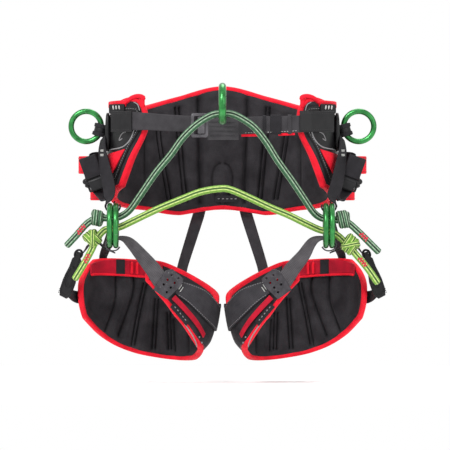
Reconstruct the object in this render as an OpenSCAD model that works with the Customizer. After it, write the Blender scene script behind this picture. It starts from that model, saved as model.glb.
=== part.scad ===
// Work-positioning climbing harness: padded hip belt, waist strap, rope bridges
// hung between two pairs of lower rings, and two padded leg loops.
// Millimetres. +X is to the right as seen from the front, +Y points to the wearer's
// back and +Z up. Left and right in the names are as seen from the front. The origin
// is the centre of the waist opening.

/* [Hip belt] */
// Half thickness of the hip pad
pad_half = 6; // [5:0.5:8]
// Thickness of flat webbing
web_thick = 2.6; // [2:0.1:3]
// Half height of the red edge binding, measured in the pad's surface
binding_half = 4.2; // [3:0.1:5]

/* [Rings] */
// Distance of each side ring's centre from the middle
side_ring_x = 217; // [215:1:220]
// Height of the side rings' centres
side_ring_z = 37; // [30:1:42]
// Pitch radius of a side ring
side_ring_major = 24; // [23:0.5:26]
// Bar radius of a side ring
side_ring_minor = 4.5; // [4:0.1:5]
// Pitch radius of a lower ring
lower_ring_major = 31.5; // [30:0.5:33]
// Bar radius of a lower ring
lower_ring_minor = 4.5; // [4:0.1:4.6]
// Pitch radius of the bridge ring
bridge_ring_major = 27; // [25:0.5:29]
// Bar radius of the bridge ring
bridge_ring_minor = 6; // [5:0.1:6.2]

/* [Ropes] */
// Diameter of both bridge ropes
rope_d = 11; // [10:0.1:11.6]

/* [Leg loops] */
// Half thickness of a leg pad
leg_half = 5; // [4:0.5:6]
// Half width of a leg loop on its outer side
leg_rx = 109; // [107:1:110]
// Half depth of a leg loop, front to back
leg_ry = 85; // [80:1:88]

/* [Hidden] */

// Colours
NYLON = "#2b292c";
GREY_WEB = "#4a484b";
CRIMSON = "#e8203c";
GREEN = "#3fa65a";
DARK_ROPE = "#2f5a3c";
LIGHT_ROPE = "#8cc152";
STEEL = "#6d6b70";

// ---- Curves and sweeps ----

function unit(v) = v / norm(v);
function lerp(a, b, t) = a + (b - a) * t;

// Smooth curve through a list of numbers or points, at position t counted in points
function curve(p, t) =
    let (
        i = max(0, min(floor(t), len(p) - 2)),
        f = t - i,
        a = p[max(i - 1, 0)],
        b = p[i],
        c = p[i + 1],
        d = p[min(i + 2, len(p) - 1)]
    )
    (2 * b + (c - a) * f + (2 * a - 5 * b + 4 * c - d) * f * f
        + (3 * b - a - 3 * c + d) * f * f * f) / 2;

// The same curve as a list of points, with n steps between two neighbours
function smooth(p, n) = [for (k = [0 : (len(p) - 1) * n]) curve(p, k / n)];

function tangent(p, i) = unit(p[min(i + 1, len(p) - 1)] - p[max(i - 1, 0)]);

// One direction across the path at each point, turned as little as possible
function carried(p, i, last) =
    i == len(p) ? [] :
    let (t = tangent(p, i), u = unit(last - (last * t) * t))
    concat([u], carried(p, i + 1, u));

// Closed solid through rings of points that run counter-clockwise about the path
module skin(rings) {
    m = len(rings[0]);
    n = len(rings);
    sides = [
        for (i = [0 : n - 2], k = [0 : m - 1])
            let (j = (k + 1) % m, a = i * m, b = (i + 1) * m)
            each [[a + k, b + k, b + j], [a + k, b + j, a + j]]
    ];
    caps = [[for (k = [0 : m - 1]) k], [for (k = [m - 1 : -1 : 0]) (n - 1) * m + k]];
    polyhedron([for (r = rings) each r], concat(sides, caps));
}

// Round cord or tube along a path
module tube(path, r, sides = 8) {
    u = carried(path, 0, abs(tangent(path, 0)[2]) < 0.9 ? [0, 0, 1] : [0, 1, 0]);
    skin([
        for (i = [0 : len(path) - 1])
            let (t = tangent(path, i), v = cross(t, u[i]))
            [for (k = [0 : sides - 1])
                path[i] + r * (cos(360 * k / sides) * u[i] + sin(360 * k / sides) * v)]
    ]);
}

// Flat strap along a path: across gives the direction of its width at each point
module ribbon(path, across, widths, thick) {
    skin([
        for (i = [0 : len(path) - 1])
            let (
                t = tangent(path, i),
                w = unit(across[i] - (across[i] * t) * t) * widths[i] / 2,
                h = unit(cross(t, w)) * thick / 2
            )
            [path[i] + w + h, path[i] - w + h, path[i] - w - h, path[i] + w - h]
    ]);
}

// Strap from a few points, each [point, direction of width, width]
module strap(stops, thick, n = 4) {
    ribbon(smooth([for (s = stops) s[0]], n), smooth([for (s = stops) s[1]], n),
        smooth([for (s = stops) s[2]], n), thick);
}

// Closed sheet between two grids of points; front lies where rows x columns points
module sheet(front, back) {
    n = len(front);
    m = len(front[0]);
    o = n * m;
    function at(i, j) = i * m + j;
    faces = [
        for (i = [0 : n - 2], j = [0 : m - 2])
            let (a = at(i, j), b = at(i + 1, j), c = at(i + 1, j + 1), d = at(i, j + 1))
            each [[a, c, b], [a, d, c], [o + a, o + b, o + c], [o + a, o + c, o + d]],
        for (i = [0 : n - 2])
            let (a = at(i, 0), b = at(i + 1, 0), c = at(i, m - 1), d = at(i + 1, m - 1))
            each [[a, b, o + b], [a, o + b, o + a], [d, c, o + c], [d, o + c, o + d]],
        for (j = [0 : m - 2])
            let (a = at(0, j), b = at(0, j + 1), c = at(n - 1, j), d = at(n - 1, j + 1))
            each [[b, a, o + a], [b, o + a, o + b], [c, d, o + d], [c, o + d, o + c]]
    ];
    polyhedron([for (r = concat(front, back)) each r], faces);
}

// Closed band round a loop of points: normal gives the direction through the sheet
module edge_band(path, normals, half_through, half_along, sides = 8) {
    n = len(path);
    rings = [
        for (i = [0 : n - 1])
            let (
                t = unit(path[(i + 1) % n] - path[(i + n - 1) % n]),
                a = unit(normals[i] - (normals[i] * t) * t),
                b = cross(t, a)
            )
            [for (k = [0 : sides - 1]) let (q = 360 * (k + 0.5) / sides)
                path[i] + half_through * cos(q) * a + half_along * sin(q) * b]
    ];
    polyhedron([for (r = rings) each r], [
        for (i = [0 : n - 1], k = [0 : sides - 1])
            let (j = (k + 1) % sides, a = i * sides, b = ((i + 1) % n) * sides)
            each [[a + k, b + k, b + j], [a + k, b + j, a + j]]
    ]);
}

module ring(major, minor) {
    rotate_extrude($fn = 64) translate([major, 0]) circle(r = minor, $fn = 32);
}

module rounded_rect(w, h, r) {
    square([w - 2 * r, h], center = true);
    square([w, h - 2 * r], center = true);
    for (x = [-1, 1], y = [-1, 1])
        translate([x * (w / 2 - r), y * (h / 2 - r)]) circle(r = r, $fn = 24);
}

module plate(w, h, r, thick) {
    linear_extrude(thick, center = true) rounded_rect(w, h, r);
}

// Everything on the wearer's other side is the mirror image
module on_side(side) {
    if (side < 0) children();
    else mirror([1, 0, 0]) children();
}

// ---- Hip belt surface ----
// The belt is drawn by its plan curve, counted in the points below from the middle
// of the back (0) to the front edge (7), and by its height at each of those points.

HIP_PLAN = [
    [0, 115], [68, 108], [120, 80], [157, 35], [173, -15], [168, -58], [146, -92], [122, -106]
];
HIP_TOP = [101, 85, 70, 58, 58, 68, 78, 74];
HIP_BOTTOM = [-91, -100, -93, -88, -79, -63, -52, -49];
HIP_ROUNDED = [[-68, 108], each HIP_PLAN];
// The front edge runs back from this place towards the bottom corner
FRONT_T = 7;
FRONT_CORNER_T = 5.45;
FRONT_BEND = 0.66;
// The top front corner is rounded off above this height, by this much
FRONT_ROUND = 0.8;
FRONT_ROUND_T = 0.5;

// The curve is mirrored behind its middle, so it stays smooth there
function half_plan(t) = t >= 1 ? curve(HIP_PLAN, t) : curve(HIP_ROUNDED, t + 1);
function hip_xy(t) = let (p = half_plan(abs(t))) [t < 0 ? -p[0] : p[0], p[1]];
function hip_normal(t) =
    let (d = hip_xy(t + 0.02) - hip_xy(t - 0.02)) unit([-d[1], d[0], 0]);
function level(p, t) = let (q = abs(t))
    q >= 1 ? curve(p, q) : lerp(p[0], p[1], q * q * (1.9 - 0.9 * q));
function hip_reach(v) =
    v < FRONT_BEND ? lerp(FRONT_CORNER_T, FRONT_T, v / FRONT_BEND) :
    FRONT_T - FRONT_ROUND_T * pow(max(0, v - FRONT_ROUND) / (1 - FRONT_ROUND), 2);

// A point of the belt: t along it, v up it, off its middle surface towards the outside
function hip_point(t, v, off) =
    let (p = hip_xy(t) + off * [hip_normal(t)[0], hip_normal(t)[1]])
    [p[0], p[1], lerp(level(HIP_BOTTOM, t), level(HIP_TOP, t), v)];

// ---- Leg loop surface, drawn for the -X leg ----
// a is the angle round the loop: 0 front, 90 outer side, 180 back, 270 inner side.

LEG_X = -118;
LEG_ANGLES = [80, 100, 118, 135, 152, 170, 190, 210, 230, 250, 265, 278, 292, 312, 335, 350, 362];
LEG_TOP = [
    -196, -188, -181, -178, -178, -180, -183, -198, -214, -227, -235, -246, -244, -230, -214,
    -205, -197
];
LEG_BOTTOM = [
    -240, -258, -275, -295, -312, -324, -331, -334, -334, -332, -327, -321, -315, -301, -262,
    -228, -205
];
// How far the inner side draws in towards the bottom, and at which heights
INSET_Z = [-340, -327, -307, -283, -253, -226];
INSET = [34, 30, 15, 7, 2, 0];
LEG_END_A = 360;

function table_at(keys, values, x) =
    let (
        n = len(keys),
        q = max(keys[0], min(x, keys[n - 1])),
        i = max([for (k = [0 : n - 2]) if (keys[k] <= q) k])
    )
    curve(values, i + (q - keys[i]) / (keys[i + 1] - keys[i]));
function leg_xyz(a, z) =
    let (
        inner = max(0, -sin(a)),
        rx = leg_rx - table_at(INSET_Z, INSET, z) * inner
    )
    [LEG_X - rx * sin(a), -leg_ry * cos(a), z];
function leg_normal(a) = unit([-sin(a) / leg_rx, -cos(a) / leg_ry, 0]);
// The outer front edge starts further round at the top and the bottom than in between
function leg_start(v) = 92 + 34 * pow(abs(v - 0.42) / 0.58, 2);
function leg_point(a, v, off) =
    let (
        z = lerp(table_at(LEG_ANGLES, LEG_BOTTOM, a), table_at(LEG_ANGLES, LEG_TOP, a), v)
    )
    leg_xyz(a, z) + off * leg_normal(a);

// ---- Hip belt ----

module back_pad() {
    rows = 44;
    cols = 6;
    function grid(off) = [
        for (i = [0 : rows])
            [for (j = [0 : cols]) let (v = j / cols)
                hip_point(lerp(1, -1, i / rows) * hip_reach(v), v, off)]
    ];
    color(NYLON) sheet(grid(pad_half), grid(-pad_half));
}

module pad_binding() {
    steps = 32;
    rise = 5;
    around = concat(
        [for (i = [0 : steps]) [lerp(1, -1, i / steps), 1]],
        [for (j = [1 : rise - 1]) [-1, 1 - j / rise]],
        [for (i = [0 : steps]) [lerp(-1, 1, i / steps), 0]],
        [for (j = [1 : rise - 1]) [1, j / rise]]
    );
    color(CRIMSON) edge_band(
        [for (p = around) hip_point(p[0] * hip_reach(p[1]), p[1], 0)],
        [for (p = around) hip_normal(p[0] * hip_reach(p[1]))],
        pad_half + 1.6, binding_half);
}

// Flat layer on the outside of the belt between two places, from height v0 to v1
module belt_layer(t0, t1, v0, v1, off, thick, rows, cols = 3) {
    function grid(d) = [
        for (i = [0 : rows])
            [for (j = [0 : cols])
                let (v = lerp(v0, v1, j / cols))
                hip_point(min(lerp(t0, t1, i / rows), hip_reach(v) - 0.28), v, d)]
    ];
    color(NYLON) sheet(grid(off), grid(off + thick));
}

module back_webbing() {
    color(GREY_WEB) belt_layer(-3.6, 3.6, 0.36, 0.62, pad_half + 0.8, web_thick, 30, 1);
}

module side_panel() {
    mirror([1, 0, 0]) belt_layer(3.9, 6.7, 0.07, 0.92, pad_half + 0.8, 2.2, 14, 4);
}

module slot_plate() {
    slots = [-7, 0, 7];
    color(NYLON)
    translate([-167, -84, 64]) rotate([90, 0, -47])
    linear_extrude(2.4, center = true) difference() {
        rounded_rect(36, 15, 3);
        for (x = slots) translate([x, 2]) rotate(12) square([2.2, 6], center = true);
    }
}

module accent_panel() {
    color(CRIMSON)
    mirror([1, 0, 0]) belt_layer(5.1, 6.0, 0.16, 0.38, pad_half + 3.6, 1.4, 4, 2);
}

// ---- Side rings ----

KEEPER_TILT = 15;
SIDE_RING_Y = -36;
KEEPER_IN = 8;
KEEPER_OUT = 10.6;
KEEPER_H = 20;

module at_side_ring() {
    translate([-side_ring_x, SIDE_RING_Y, side_ring_z]) rotate([0, KEEPER_TILT, 0]) children();
}

module side_ring() {
    color(GREEN) at_side_ring() rotate([90, 0, 0]) ring(side_ring_major, side_ring_minor);
}

module ring_keeper() {
    color(NYLON) at_side_ring() translate([side_ring_major, 0, 0]) difference() {
        union() {
            cylinder(r = KEEPER_OUT, h = KEEPER_H, center = true, $fn = 40);
            translate([8, 0, 0]) cube([11, 12, KEEPER_H], center = true);
        }
        cylinder(r = KEEPER_IN, h = KEEPER_H + 2, center = true, $fn = 40);
    }
}

// ---- Lower rings, two side by side on each hip ----

LOWER_X = [-173, 168];
LOWER_Y = -105;
LOWER_Z = -121;
PAIR_HALF = lower_ring_minor + 0.2;

module lower_ring(side, place) {
    color(GREEN)
    translate([LOWER_X[side] + place * PAIR_HALF, LOWER_Y, LOWER_Z])
    rotate([0, 90, 0]) ring(lower_ring_major, lower_ring_minor);
}

// Half sizes of a webbing loop that runs round both bars of a pair
LOOP_X = 2 * lower_ring_minor + 0.2 + 1 + web_thick / 2;
LOOP_Z = lower_ring_minor + 3.7 + web_thick / 2;
RING_TOP_Z = LOWER_Z + lower_ring_major - 1.2;
RING_LOW_Z = LOWER_Z - lower_ring_major + 1.2;
ALONG_Y = [0, 1, 0];

// Stops of a loop about a ring bar; start and span are angles from the +X side
function loop_stops(x, z, start, span, steps, width) = [
    for (i = [0 : steps]) let (q = start + span * i / steps)
        [[x + LOOP_X * cos(q), LOWER_Y, z + LOOP_Z * sin(q)], ALONG_Y, width]
];

module hip_webbing(side) {
    x = LOWER_X[side];
    out = side == 0 ? -1 : 1;
    stops = concat(
        [
            [[out * 190, -50, 18], [0.3 * out, 1, 0], 21],
            [[out * 191, -60, -2], [0.5 * out, 1, 0], 25],
            [[out * 186, -74, -32], [0.75 * out, 1, 0.1], 26],
            [[out * 178, -92, -62], [0.6 * out, 1, 0.2], 22],
            [[x + out * 4, -102, -76], [0.15 * out, 1, 0], 17]
        ],
        loop_stops(x, RING_TOP_Z, out < 0 ? 160 : 20, -out * 220, 8, 16)
    );
    color(NYLON) strap(stops, web_thick, 2);
}

// ---- Hip adjusters ----
// Local frame of an adjuster: x across the webbing, z up along it, -y to the front.

ADJ_AT = [-200, -52, -54];
ADJ_TILT = -20;
LEVER_AXIS_Z = 5;

module at_adjuster() {
    translate(ADJ_AT) rotate([0, ADJ_TILT, 0]) children();
}

module adjuster_webbing() {
    color(NYLON) {
        at_adjuster() {
            // three plies side by side, joined by the fold at their upper end
            for (k = [0 : 2]) translate([0, 4 * k - 4, 27]) cube([28, 3.4, 32], center = true);
            translate([0, 0, 42]) cube([28, 11.4, 3], center = true);
            translate([0, 5.4, 2]) cube([20, 1.8, 24], center = true);
        }
        strap([
            [[-181, -24, -20], [0, 0.3, 1], 20],
            [[-194, -32, -14], [0, 0.2, 1], 20],
            [[-206, -42, -14], [0.3, 0, 1], 20],
            [[-212, -47, -16], [0.6, 0, 1], 20]
        ], 2.2, 3);
        strap([
            [[-197, -46.8, -64], [1, 0, 0.3], 20],
            [[-195, -52, -69], [1, 0.2, 0], 20],
            [[-191, -66, -76], [0.8, 0.6, 0], 18],
            [[-188, -84, -80], [0.3, 1, 0], 15],
            [[-183, -94, -77], [0, 1, 0.2], 13]
        ], 2.2, 3);
    }
}

module adjuster_frame() {
    color("#1c1b1e") at_adjuster() rotate([90, 0, 0]) difference() {
        plate(31, 21, 3, 5);
        translate([0, LEVER_AXIS_Z, 0]) cube([24, 7, 7], center = true);
        translate([0, -5.5, 0]) cube([24, 5, 7], center = true);
    }
    // pin of the cam lever
    color(STEEL) at_adjuster() translate([0, -5.6, LEVER_AXIS_Z])
        rotate([0, 90, 0]) cylinder(r = 1.5, h = 30, center = true, $fn = 24);
    color("#1c1b1e") at_adjuster() for (x = [-14, 14])
        translate([x, -4, LEVER_AXIS_Z]) cube([3, 6.4, 5], center = true);
}

module adjuster_lever() {
    color("#1c1b1e") at_adjuster() translate([0, -5.6, LEVER_AXIS_Z]) difference() {
        union() {
            rotate([0, 90, 0]) cylinder(r = 4.2, h = 23, center = true, $fn = 32);
            translate([0, -2.4, -7]) cube([23, 3, 14], center = true);
        }
        rotate([0, 90, 0]) cylinder(r = 1.55, h = 26, center = true, $fn = 24);
        translate([0, 5.4, 0]) cube([30, 6, 12], center = true);
    }
}

// Two flexible gear loops on each hip, one above the other
module gear_loops() {
    upper = [[-181, -6], [-205, -16], [-227, -2], [-226, 26], [-206, 48], [-182, 54], [-158, 46]];
    lower = [[-180, -4], [-197, -12], [-210, 4], [-204, 28], [-184, 46], [-160, 43]];
    color(CRIMSON) {
        strap([for (p = upper) [[p[0], p[1], -24], [0, 0, 1], 28]], 3, 3);
        strap([for (p = lower) [[p[0], p[1], -72], [0, 0, 1], 17]], 3, 3);
    }
}

// ---- Waist strap ----

module waist_strap_left() {
    color(GREY_WEB) strap([
        [[-162, -97, 45], [0, 0, 1], 30],
        [[-140, -112, 44], [0, 0, 1], 29],
        [[-118, -121, 43], [0, 0, 1], 27],
        [[-90, -125, 41], [0, 0, 1], 26],
        [[-46.5, -127, 39], [0, 0, 1], 25]
    ], web_thick, 4);
}

module waist_strap_right() {
    color(GREY_WEB) strap([
        [[162, -97, 42], [0, 0, 1], 28],
        [[140, -112, 41], [0, 0, 1], 28],
        [[118, -121, 39], [0, 0, 1], 27],
        [[80, -125, 38], [0, 0, 1], 27],
        [[22, -127, 36], [0, 0, 1], 27]
    ], web_thick, 4);
}

WAIST_Y = -127;
BUCKLE_X = -36;
BUCKLE_Z = 37;

module waist_patch() {
    color(GREY_WEB) translate([1, WAIST_Y, 31]) rotate([90, 0, 0]) plate(49, 34, 3, 5);
}

module waist_buckle_frame() {
    color(STEEL) translate([BUCKLE_X, WAIST_Y, BUCKLE_Z]) rotate([90, 0, 0]) difference() {
        plate(27, 38, 4, 4);
        plate(18, 29, 2, 6);
    }
    color(STEEL) translate([BUCKLE_X, WAIST_Y, BUCKLE_Z]) cylinder(r = 1.8, h = 31, center = true, $fn = 24);
}

// Smaller slotted bar that pivots on the frame's middle bar and locks the strap
module waist_buckle_bar() {
    color(STEEL) translate([BUCKLE_X, WAIST_Y, BUCKLE_Z]) difference() {
        union() {
            cylinder(r = 3.2, h = 26, center = true, $fn = 32);
            translate([2.5, -3, 0]) cube([11, 2.6, 26], center = true);
        }
        cylinder(r = 1.86, h = 28, center = true, $fn = 24);
    }
}

// ---- Rope bridges ----

APEX_Y = -165;
APEX_Z = 55;
BRIDGE_Z = APEX_Z - rope_d / 2 - 0.4 - bridge_ring_minor + bridge_ring_major;

module bridge_ring() {
    color(GREEN) translate([0, APEX_Y, BRIDGE_Z]) rotate([0, 90, 0])
        ring(bridge_ring_major, bridge_ring_minor);
}

// Routes from tail to tail, through both pairs of lower rings
DARK_ROUTE = [
    [-247, -112, -154], [-232, -112, -138], [-214, -109, -118], [-198, -106, -109],
    [-185, -105, -109], [-173, -105, -109], [-160, -106, -106], [-146, -111, -96],
    [-130, -118, -74], [-105, -131, -38], [-81, -141, -9], [-62, -148, 17], [-40, -156, 38],
    [-17, -163, 52], [0, -165, 55], [15, -163, 54], [32, -158, 46], [50, -151, 33],
    [68, -145, 11], [87, -138, -19], [110, -128, -51], [127, -120, -76], [142, -112, -98],
    [154, -106, -108], [168, -105, -111], [180, -105, -112], [196, -107, -115],
    [214, -110, -130], [232, -112, -148], [248, -112, -164]
];
LIGHT_ROUTE = [
    [-234, -112, -207], [-220, -112, -184], [-208, -110, -162], [-197, -107, -140],
    [-186, -105, -128], [-173, -105, -126], [-159, -106, -122], [-140, -114, -113],
    [-102, -130, -95], [-63, -143, -79], [-34, -150, -68], [-4, -153, -63], [14, -152, -65],
    [44, -147, -78], [74, -139, -92], [103, -129, -104], [132, -116, -118], [152, -107, -127],
    [168, -105, -131], [181, -105, -136], [195, -107, -149], [212, -110, -168],
    [230, -112, -190], [246, -112, -213]
];

module dark_rope() {
    color(DARK_ROPE) tube(smooth(DARK_ROUTE, 2), rope_d / 2);
}

module light_rope() {
    color(LIGHT_ROPE) tube(smooth(LIGHT_ROUTE, 3), rope_d / 2);
}

// Stopper knot: a barrel of rope turns side by side about an axis along X
module stopper(at, turns, pitch, radius, lean) {
    groove = 3;
    profile = concat(
        [[0, 0]],
        [for (k = [0 : turns - 1])
            each [[radius - groove, k * pitch], [radius, (k + 0.3) * pitch], [radius, (k + 0.7) * pitch]]],
        [[radius - groove, turns * pitch], [0, turns * pitch]]
    );
    translate(at) rotate([0, lean, 0]) rotate([0, 90, 0]) translate([0, 0, -turns * pitch / 2])
        rotate_extrude($fn = 40) polygon(profile);
}

module left_dark_knot() {
    color(DARK_ROPE) stopper([-197.5, -106, -109], 3, 7.5, 14.5, 12);
}

module right_dark_knot() {
    color(DARK_ROPE) stopper([191, -106, -111], 3, 7.5, 16, -8);
}

module left_light_knot() {
    color(LIGHT_ROPE) stopper([-205, -107, -141], 3, 8.5, 15.5, -38);
}

module right_light_knot() {
    color(LIGHT_ROPE) stopper([202, -107, -151], 3, 9, 16.5, 40);
}

// ---- Leg loops, drawn for the -X leg ----

function leg_grid(off, rows, cols) = [
    for (i = [0 : rows])
        [for (j = [0 : cols]) let (v = j / cols)
            leg_point(lerp(LEG_END_A, leg_start(v), i / rows), v, off)]
];

module leg_pad() {
    color(NYLON) sheet(leg_grid(leg_half, 32, 6), leg_grid(-leg_half, 32, 6));
}

module leg_binding() {
    steps = 26;
    rise = 6;
    around = concat(
        [for (i = [0 : steps]) [lerp(LEG_END_A, leg_start(1), i / steps), 1]],
        [for (j = [1 : rise - 1]) let (v = 1 - j / rise) [leg_start(v), v]],
        [for (i = [0 : steps]) [lerp(leg_start(0), LEG_END_A, i / steps), 0]]
    );
    color(CRIMSON) edge_band(
        [for (p = around) leg_point(p[0], p[1], 0)],
        [for (p = around) leg_normal(p[0])],
        leg_half + 1.6, binding_half);
}

// Flat layer on the leg pad from angle a0 to a1; lows and highs are its heights v.
// tuck draws it in on the inner side, where the two legs come close.
INNER_A = 270;
TUCK_SPAN = 10;

module leg_layer(a0, a1, lows, highs, off, thick, rows, tuck = 0) {
    function drawn(a) = tuck * exp(-pow((a - INNER_A) / TUCK_SPAN, 2));
    function grid(d) = [
        for (i = [0 : rows])
            let (f = i / rows * (len(lows) - 1), a = lerp(a0, a1, i / rows))
            [for (j = [0 : 2])
                leg_point(a, lerp(curve(lows, f), curve(highs, f), j / 2), d - drawn(a))]
    ];
    sheet(grid(off + thick), grid(off));
}

module leg_hem() {
    color(CRIMSON) leg_layer(208, 112, [0.84, 0.84, 0.82, 0.8], [1.01, 1.01, 1.01, 1.01],
        -leg_half - 4.6, 2.6, 16);
}

module leg_webbing() {
    color(GREY_WEB) leg_layer(338, 214, [0.62, 0.5, 0.42, 0.4, 0.45], [1.12, 1.12, 0.93, 0.8, 0.7],
        leg_half + 2.2, web_thick, 30, 1.5);
}

PLATE_AT = [-86, -94.2, -214];
PLATE_TURN = 14;
PLATE_TILT = -41;
// Two columns of vent holes, each [x, number of holes, height of the first one]
PLATE_COLUMNS = [[-5.5, 3, 14.6], [6.3, 4, 18.4]];
PLATE_PITCH = 9.7;
PLATE_OUTLINE = [[-13, -22], [14, -19], [17, 12], [13, 23], [-11, 23], [-17, 14]];

module leg_plate() {
    hole_r = 1.9;
    color(STEEL) translate(PLATE_AT) rotate([90, 0, PLATE_TURN]) rotate(PLATE_TILT)
    linear_extrude(2.4, center = true) difference() {
        offset(r = 2, $fn = 24) offset(delta = -2) polygon(PLATE_OUTLINE);
        for (c = PLATE_COLUMNS) for (k = [0 : c[1] - 1])
            translate([c[0], c[2] - PLATE_PITCH * k]) circle(r = hole_r, $fn = 24);
    }
}

module front_strap(side) {
    x = side == 0 ? LOWER_X[0] : -LOWER_X[1];
    color(GREY_WEB) strap(concat(
        loop_stops(x, RING_LOW_Z, -20, -250, 8, 14),
        [
            [[x + 14, -104, -141], [0, 1, 0.6], 14],
            [[x + 27, -103, -148], [0.4, 0.4, 1], 17],
            [[-128, -100, -168], [1, 0.1, 0.8], 21],
            [[-110, -98, -190], [1, 0, 0.6], 25],
            [[-97, -95.2, -210], [1, 0.2, 0.6], 26]
        ]
    ), 2.2, 2);
}

BUCKLE_TOP = [-229, -30, -166];
BUCKLE_LEAN = 18.5;

// Local frame of the leg buckle: z up along the strap, x outwards, y across it
module at_leg_buckle() {
    translate(BUCKLE_TOP) rotate([0, BUCKLE_LEAN, 0]) children();
}

module leg_side_strap() {
    color(NYLON) {
        strap([
            [[-174, -98, -162.5], [0, 1, 0], 13],
            [[-184, -84, -158], [0.2, 1, 0], 15],
            [[-197, -70, -149], [0, 1, 0], 17],
            [[-210, -50, -151], [0, 1, 0], 20],
            [[-221, -32, -163], [0, 1, 0], 22]
        ], 2, 3);
        at_leg_buckle() difference() {
            rotate([90, 0, 0]) cylinder(r = 8.5, h = 22, center = true, $fn = 36);
            rotate([90, 0, 0]) cylinder(r = 3.2, h = 24, center = true, $fn = 36);
        }
        // from the buckle's lower end round to the pad's outer face
        strap([
            [[-247, -26, -226], [0, 0.6, 1], 16],
            [[-243, -16, -230], [0, 0.4, 1], 18],
            [leg_xyz(94, -234) + 11 * leg_normal(94), [0, 0.2, 1], 19],
            [leg_xyz(105, -236) + 7.6 * leg_normal(105), [0, 0, 1], 20],
            [leg_xyz(120, -236) + 6 * leg_normal(120), [0, 0, 1], 20]
        ], 2, 3);
    }
}

// The release tongue swings out of the buckle's body on this pin
TONGUE_PIN = [-5, 0, -29];
TONGUE_PIN_R = 2.5;

module leg_buckle() {
    side_profile = [
        [-4, -5], [-7.5, -9.5], [-8, -24], [-10, -36], [-11, -46], [-11, -62], [-8, -72],
        [4, -74], [9.5, -68], [10, -46], [7, -30], [7.5, -9.5], [4, -5]
    ];
    color("#1c1b1e") at_leg_buckle() {
        difference() {
            rotate([90, 0, 0]) linear_extrude(24, center = true) polygon(side_profile);
            translate([-8, 0, -44]) cube([10, 18, 40], center = true);
            translate([0, 0, -14]) cube([30, 18, 12], center = true);
            translate(TONGUE_PIN) rotate([90, 0, 0])
                cylinder(r = TONGUE_PIN_R + 0.06, h = 30, center = true, $fn = 32);
        }
        // roller bar that the side strap is wound on, and its two cheeks
        rotate([90, 0, 0]) cylinder(r = 3, h = 29, center = true, $fn = 24);
        for (y = [-1, 1]) translate([0, y * 12.8, -9]) cube([7, 2.6, 24], center = true);
    }
}

module leg_tongue() {
    color(STEEL) at_leg_buckle() translate(TONGUE_PIN) {
        rotate([90, 0, 0]) cylinder(r = TONGUE_PIN_R, h = 23, center = true, $fn = 32);
        translate([-1, 0, -15]) cube([3, 16, 30], center = true);
        translate([-4, 0, -28]) cube([4, 14, 4], center = true);
    }
}

module riser_strap() {
    color(GREY_WEB) strap([
        [[-32, 122.2, -58], [1, 0.1, 0], 19],
        [[-34, 122.6, -80], [1, 0.1, 0], 19],
        [[-38, 124, -100], [1, 0.1, 0], 19],
        [[-44, 118, -120], [1, 0, 0], 19],
        [[-62, 96, -178], [1, -0.2, 0], 18],
        [[-66, 87.5, -194], [1, -0.3, 0], 18],
        [[-69, 84.4, -208], [1, -0.4, 0], 18]
    ], 2, 3);
}

// ---- Assembly ----

back_pad();
pad_binding();
back_webbing();
on_side(-1) side_panel();  // left_side_panel
on_side(1) side_panel();  // right_side_panel
on_side(-1) slot_plate();  // left_slot_plate
on_side(1) slot_plate();  // right_slot_plate
on_side(-1) accent_panel();  // left_accent_panel
on_side(1) accent_panel();  // right_accent_panel
hip_webbing(0);  // left_hip_webbing
hip_webbing(1);  // right_hip_webbing
on_side(-1) ring_keeper();  // left_ring_keeper
on_side(1) ring_keeper();  // right_ring_keeper
on_side(-1) side_ring();  // left_side_ring
on_side(1) side_ring();  // right_side_ring
on_side(-1) adjuster_webbing();  // left_adjuster_webbing
on_side(1) adjuster_webbing();  // right_adjuster_webbing
on_side(-1) adjuster_frame();  // left_adjuster_frame
on_side(1) adjuster_frame();  // right_adjuster_frame
on_side(-1) adjuster_lever();  // left_adjuster_lever
on_side(1) adjuster_lever();  // right_adjuster_lever
on_side(-1) gear_loops();  // left_gear_loops
on_side(1) gear_loops();  // right_gear_loops
lower_ring(0, -1);  // left_lower_ring_outer
lower_ring(1, 1);  // right_lower_ring_outer
lower_ring(0, 1);  // left_lower_ring_inner
lower_ring(1, -1);  // right_lower_ring_inner
waist_strap_left();  // left_waist_strap
waist_strap_right();  // right_waist_strap
waist_buckle_frame();
waist_buckle_bar();
waist_patch();
bridge_ring();
dark_rope();
light_rope();
left_dark_knot();
right_dark_knot();
left_light_knot();
right_light_knot();
on_side(-1) leg_pad();  // left_leg_pad
on_side(1) leg_pad();  // right_leg_pad
on_side(-1) leg_binding();  // left_leg_binding
on_side(1) leg_binding();  // right_leg_binding
on_side(-1) leg_hem();  // left_leg_hem
on_side(1) leg_hem();  // right_leg_hem
on_side(-1) leg_webbing();  // left_leg_webbing
on_side(1) leg_webbing();  // right_leg_webbing
on_side(-1) leg_plate();  // left_leg_plate
on_side(1) leg_plate();  // right_leg_plate
on_side(-1) front_strap(0);  // left_front_strap
on_side(1) front_strap(1);  // right_front_strap
on_side(-1) leg_side_strap();  // left_leg_side_strap
on_side(1) leg_side_strap();  // right_leg_side_strap
on_side(-1) leg_buckle();  // left_leg_buckle
on_side(1) leg_buckle();  // right_leg_buckle
on_side(-1) leg_tongue();  // left_leg_tongue
on_side(1) leg_tongue();  // right_leg_tongue
on_side(-1) riser_strap();  // left_riser_strap
on_side(1) riser_strap();  // right_riser_strap
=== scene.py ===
"""Climbing harness: padded hip belt and leg loops, alloy rings and two rope bridges."""

import math

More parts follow.
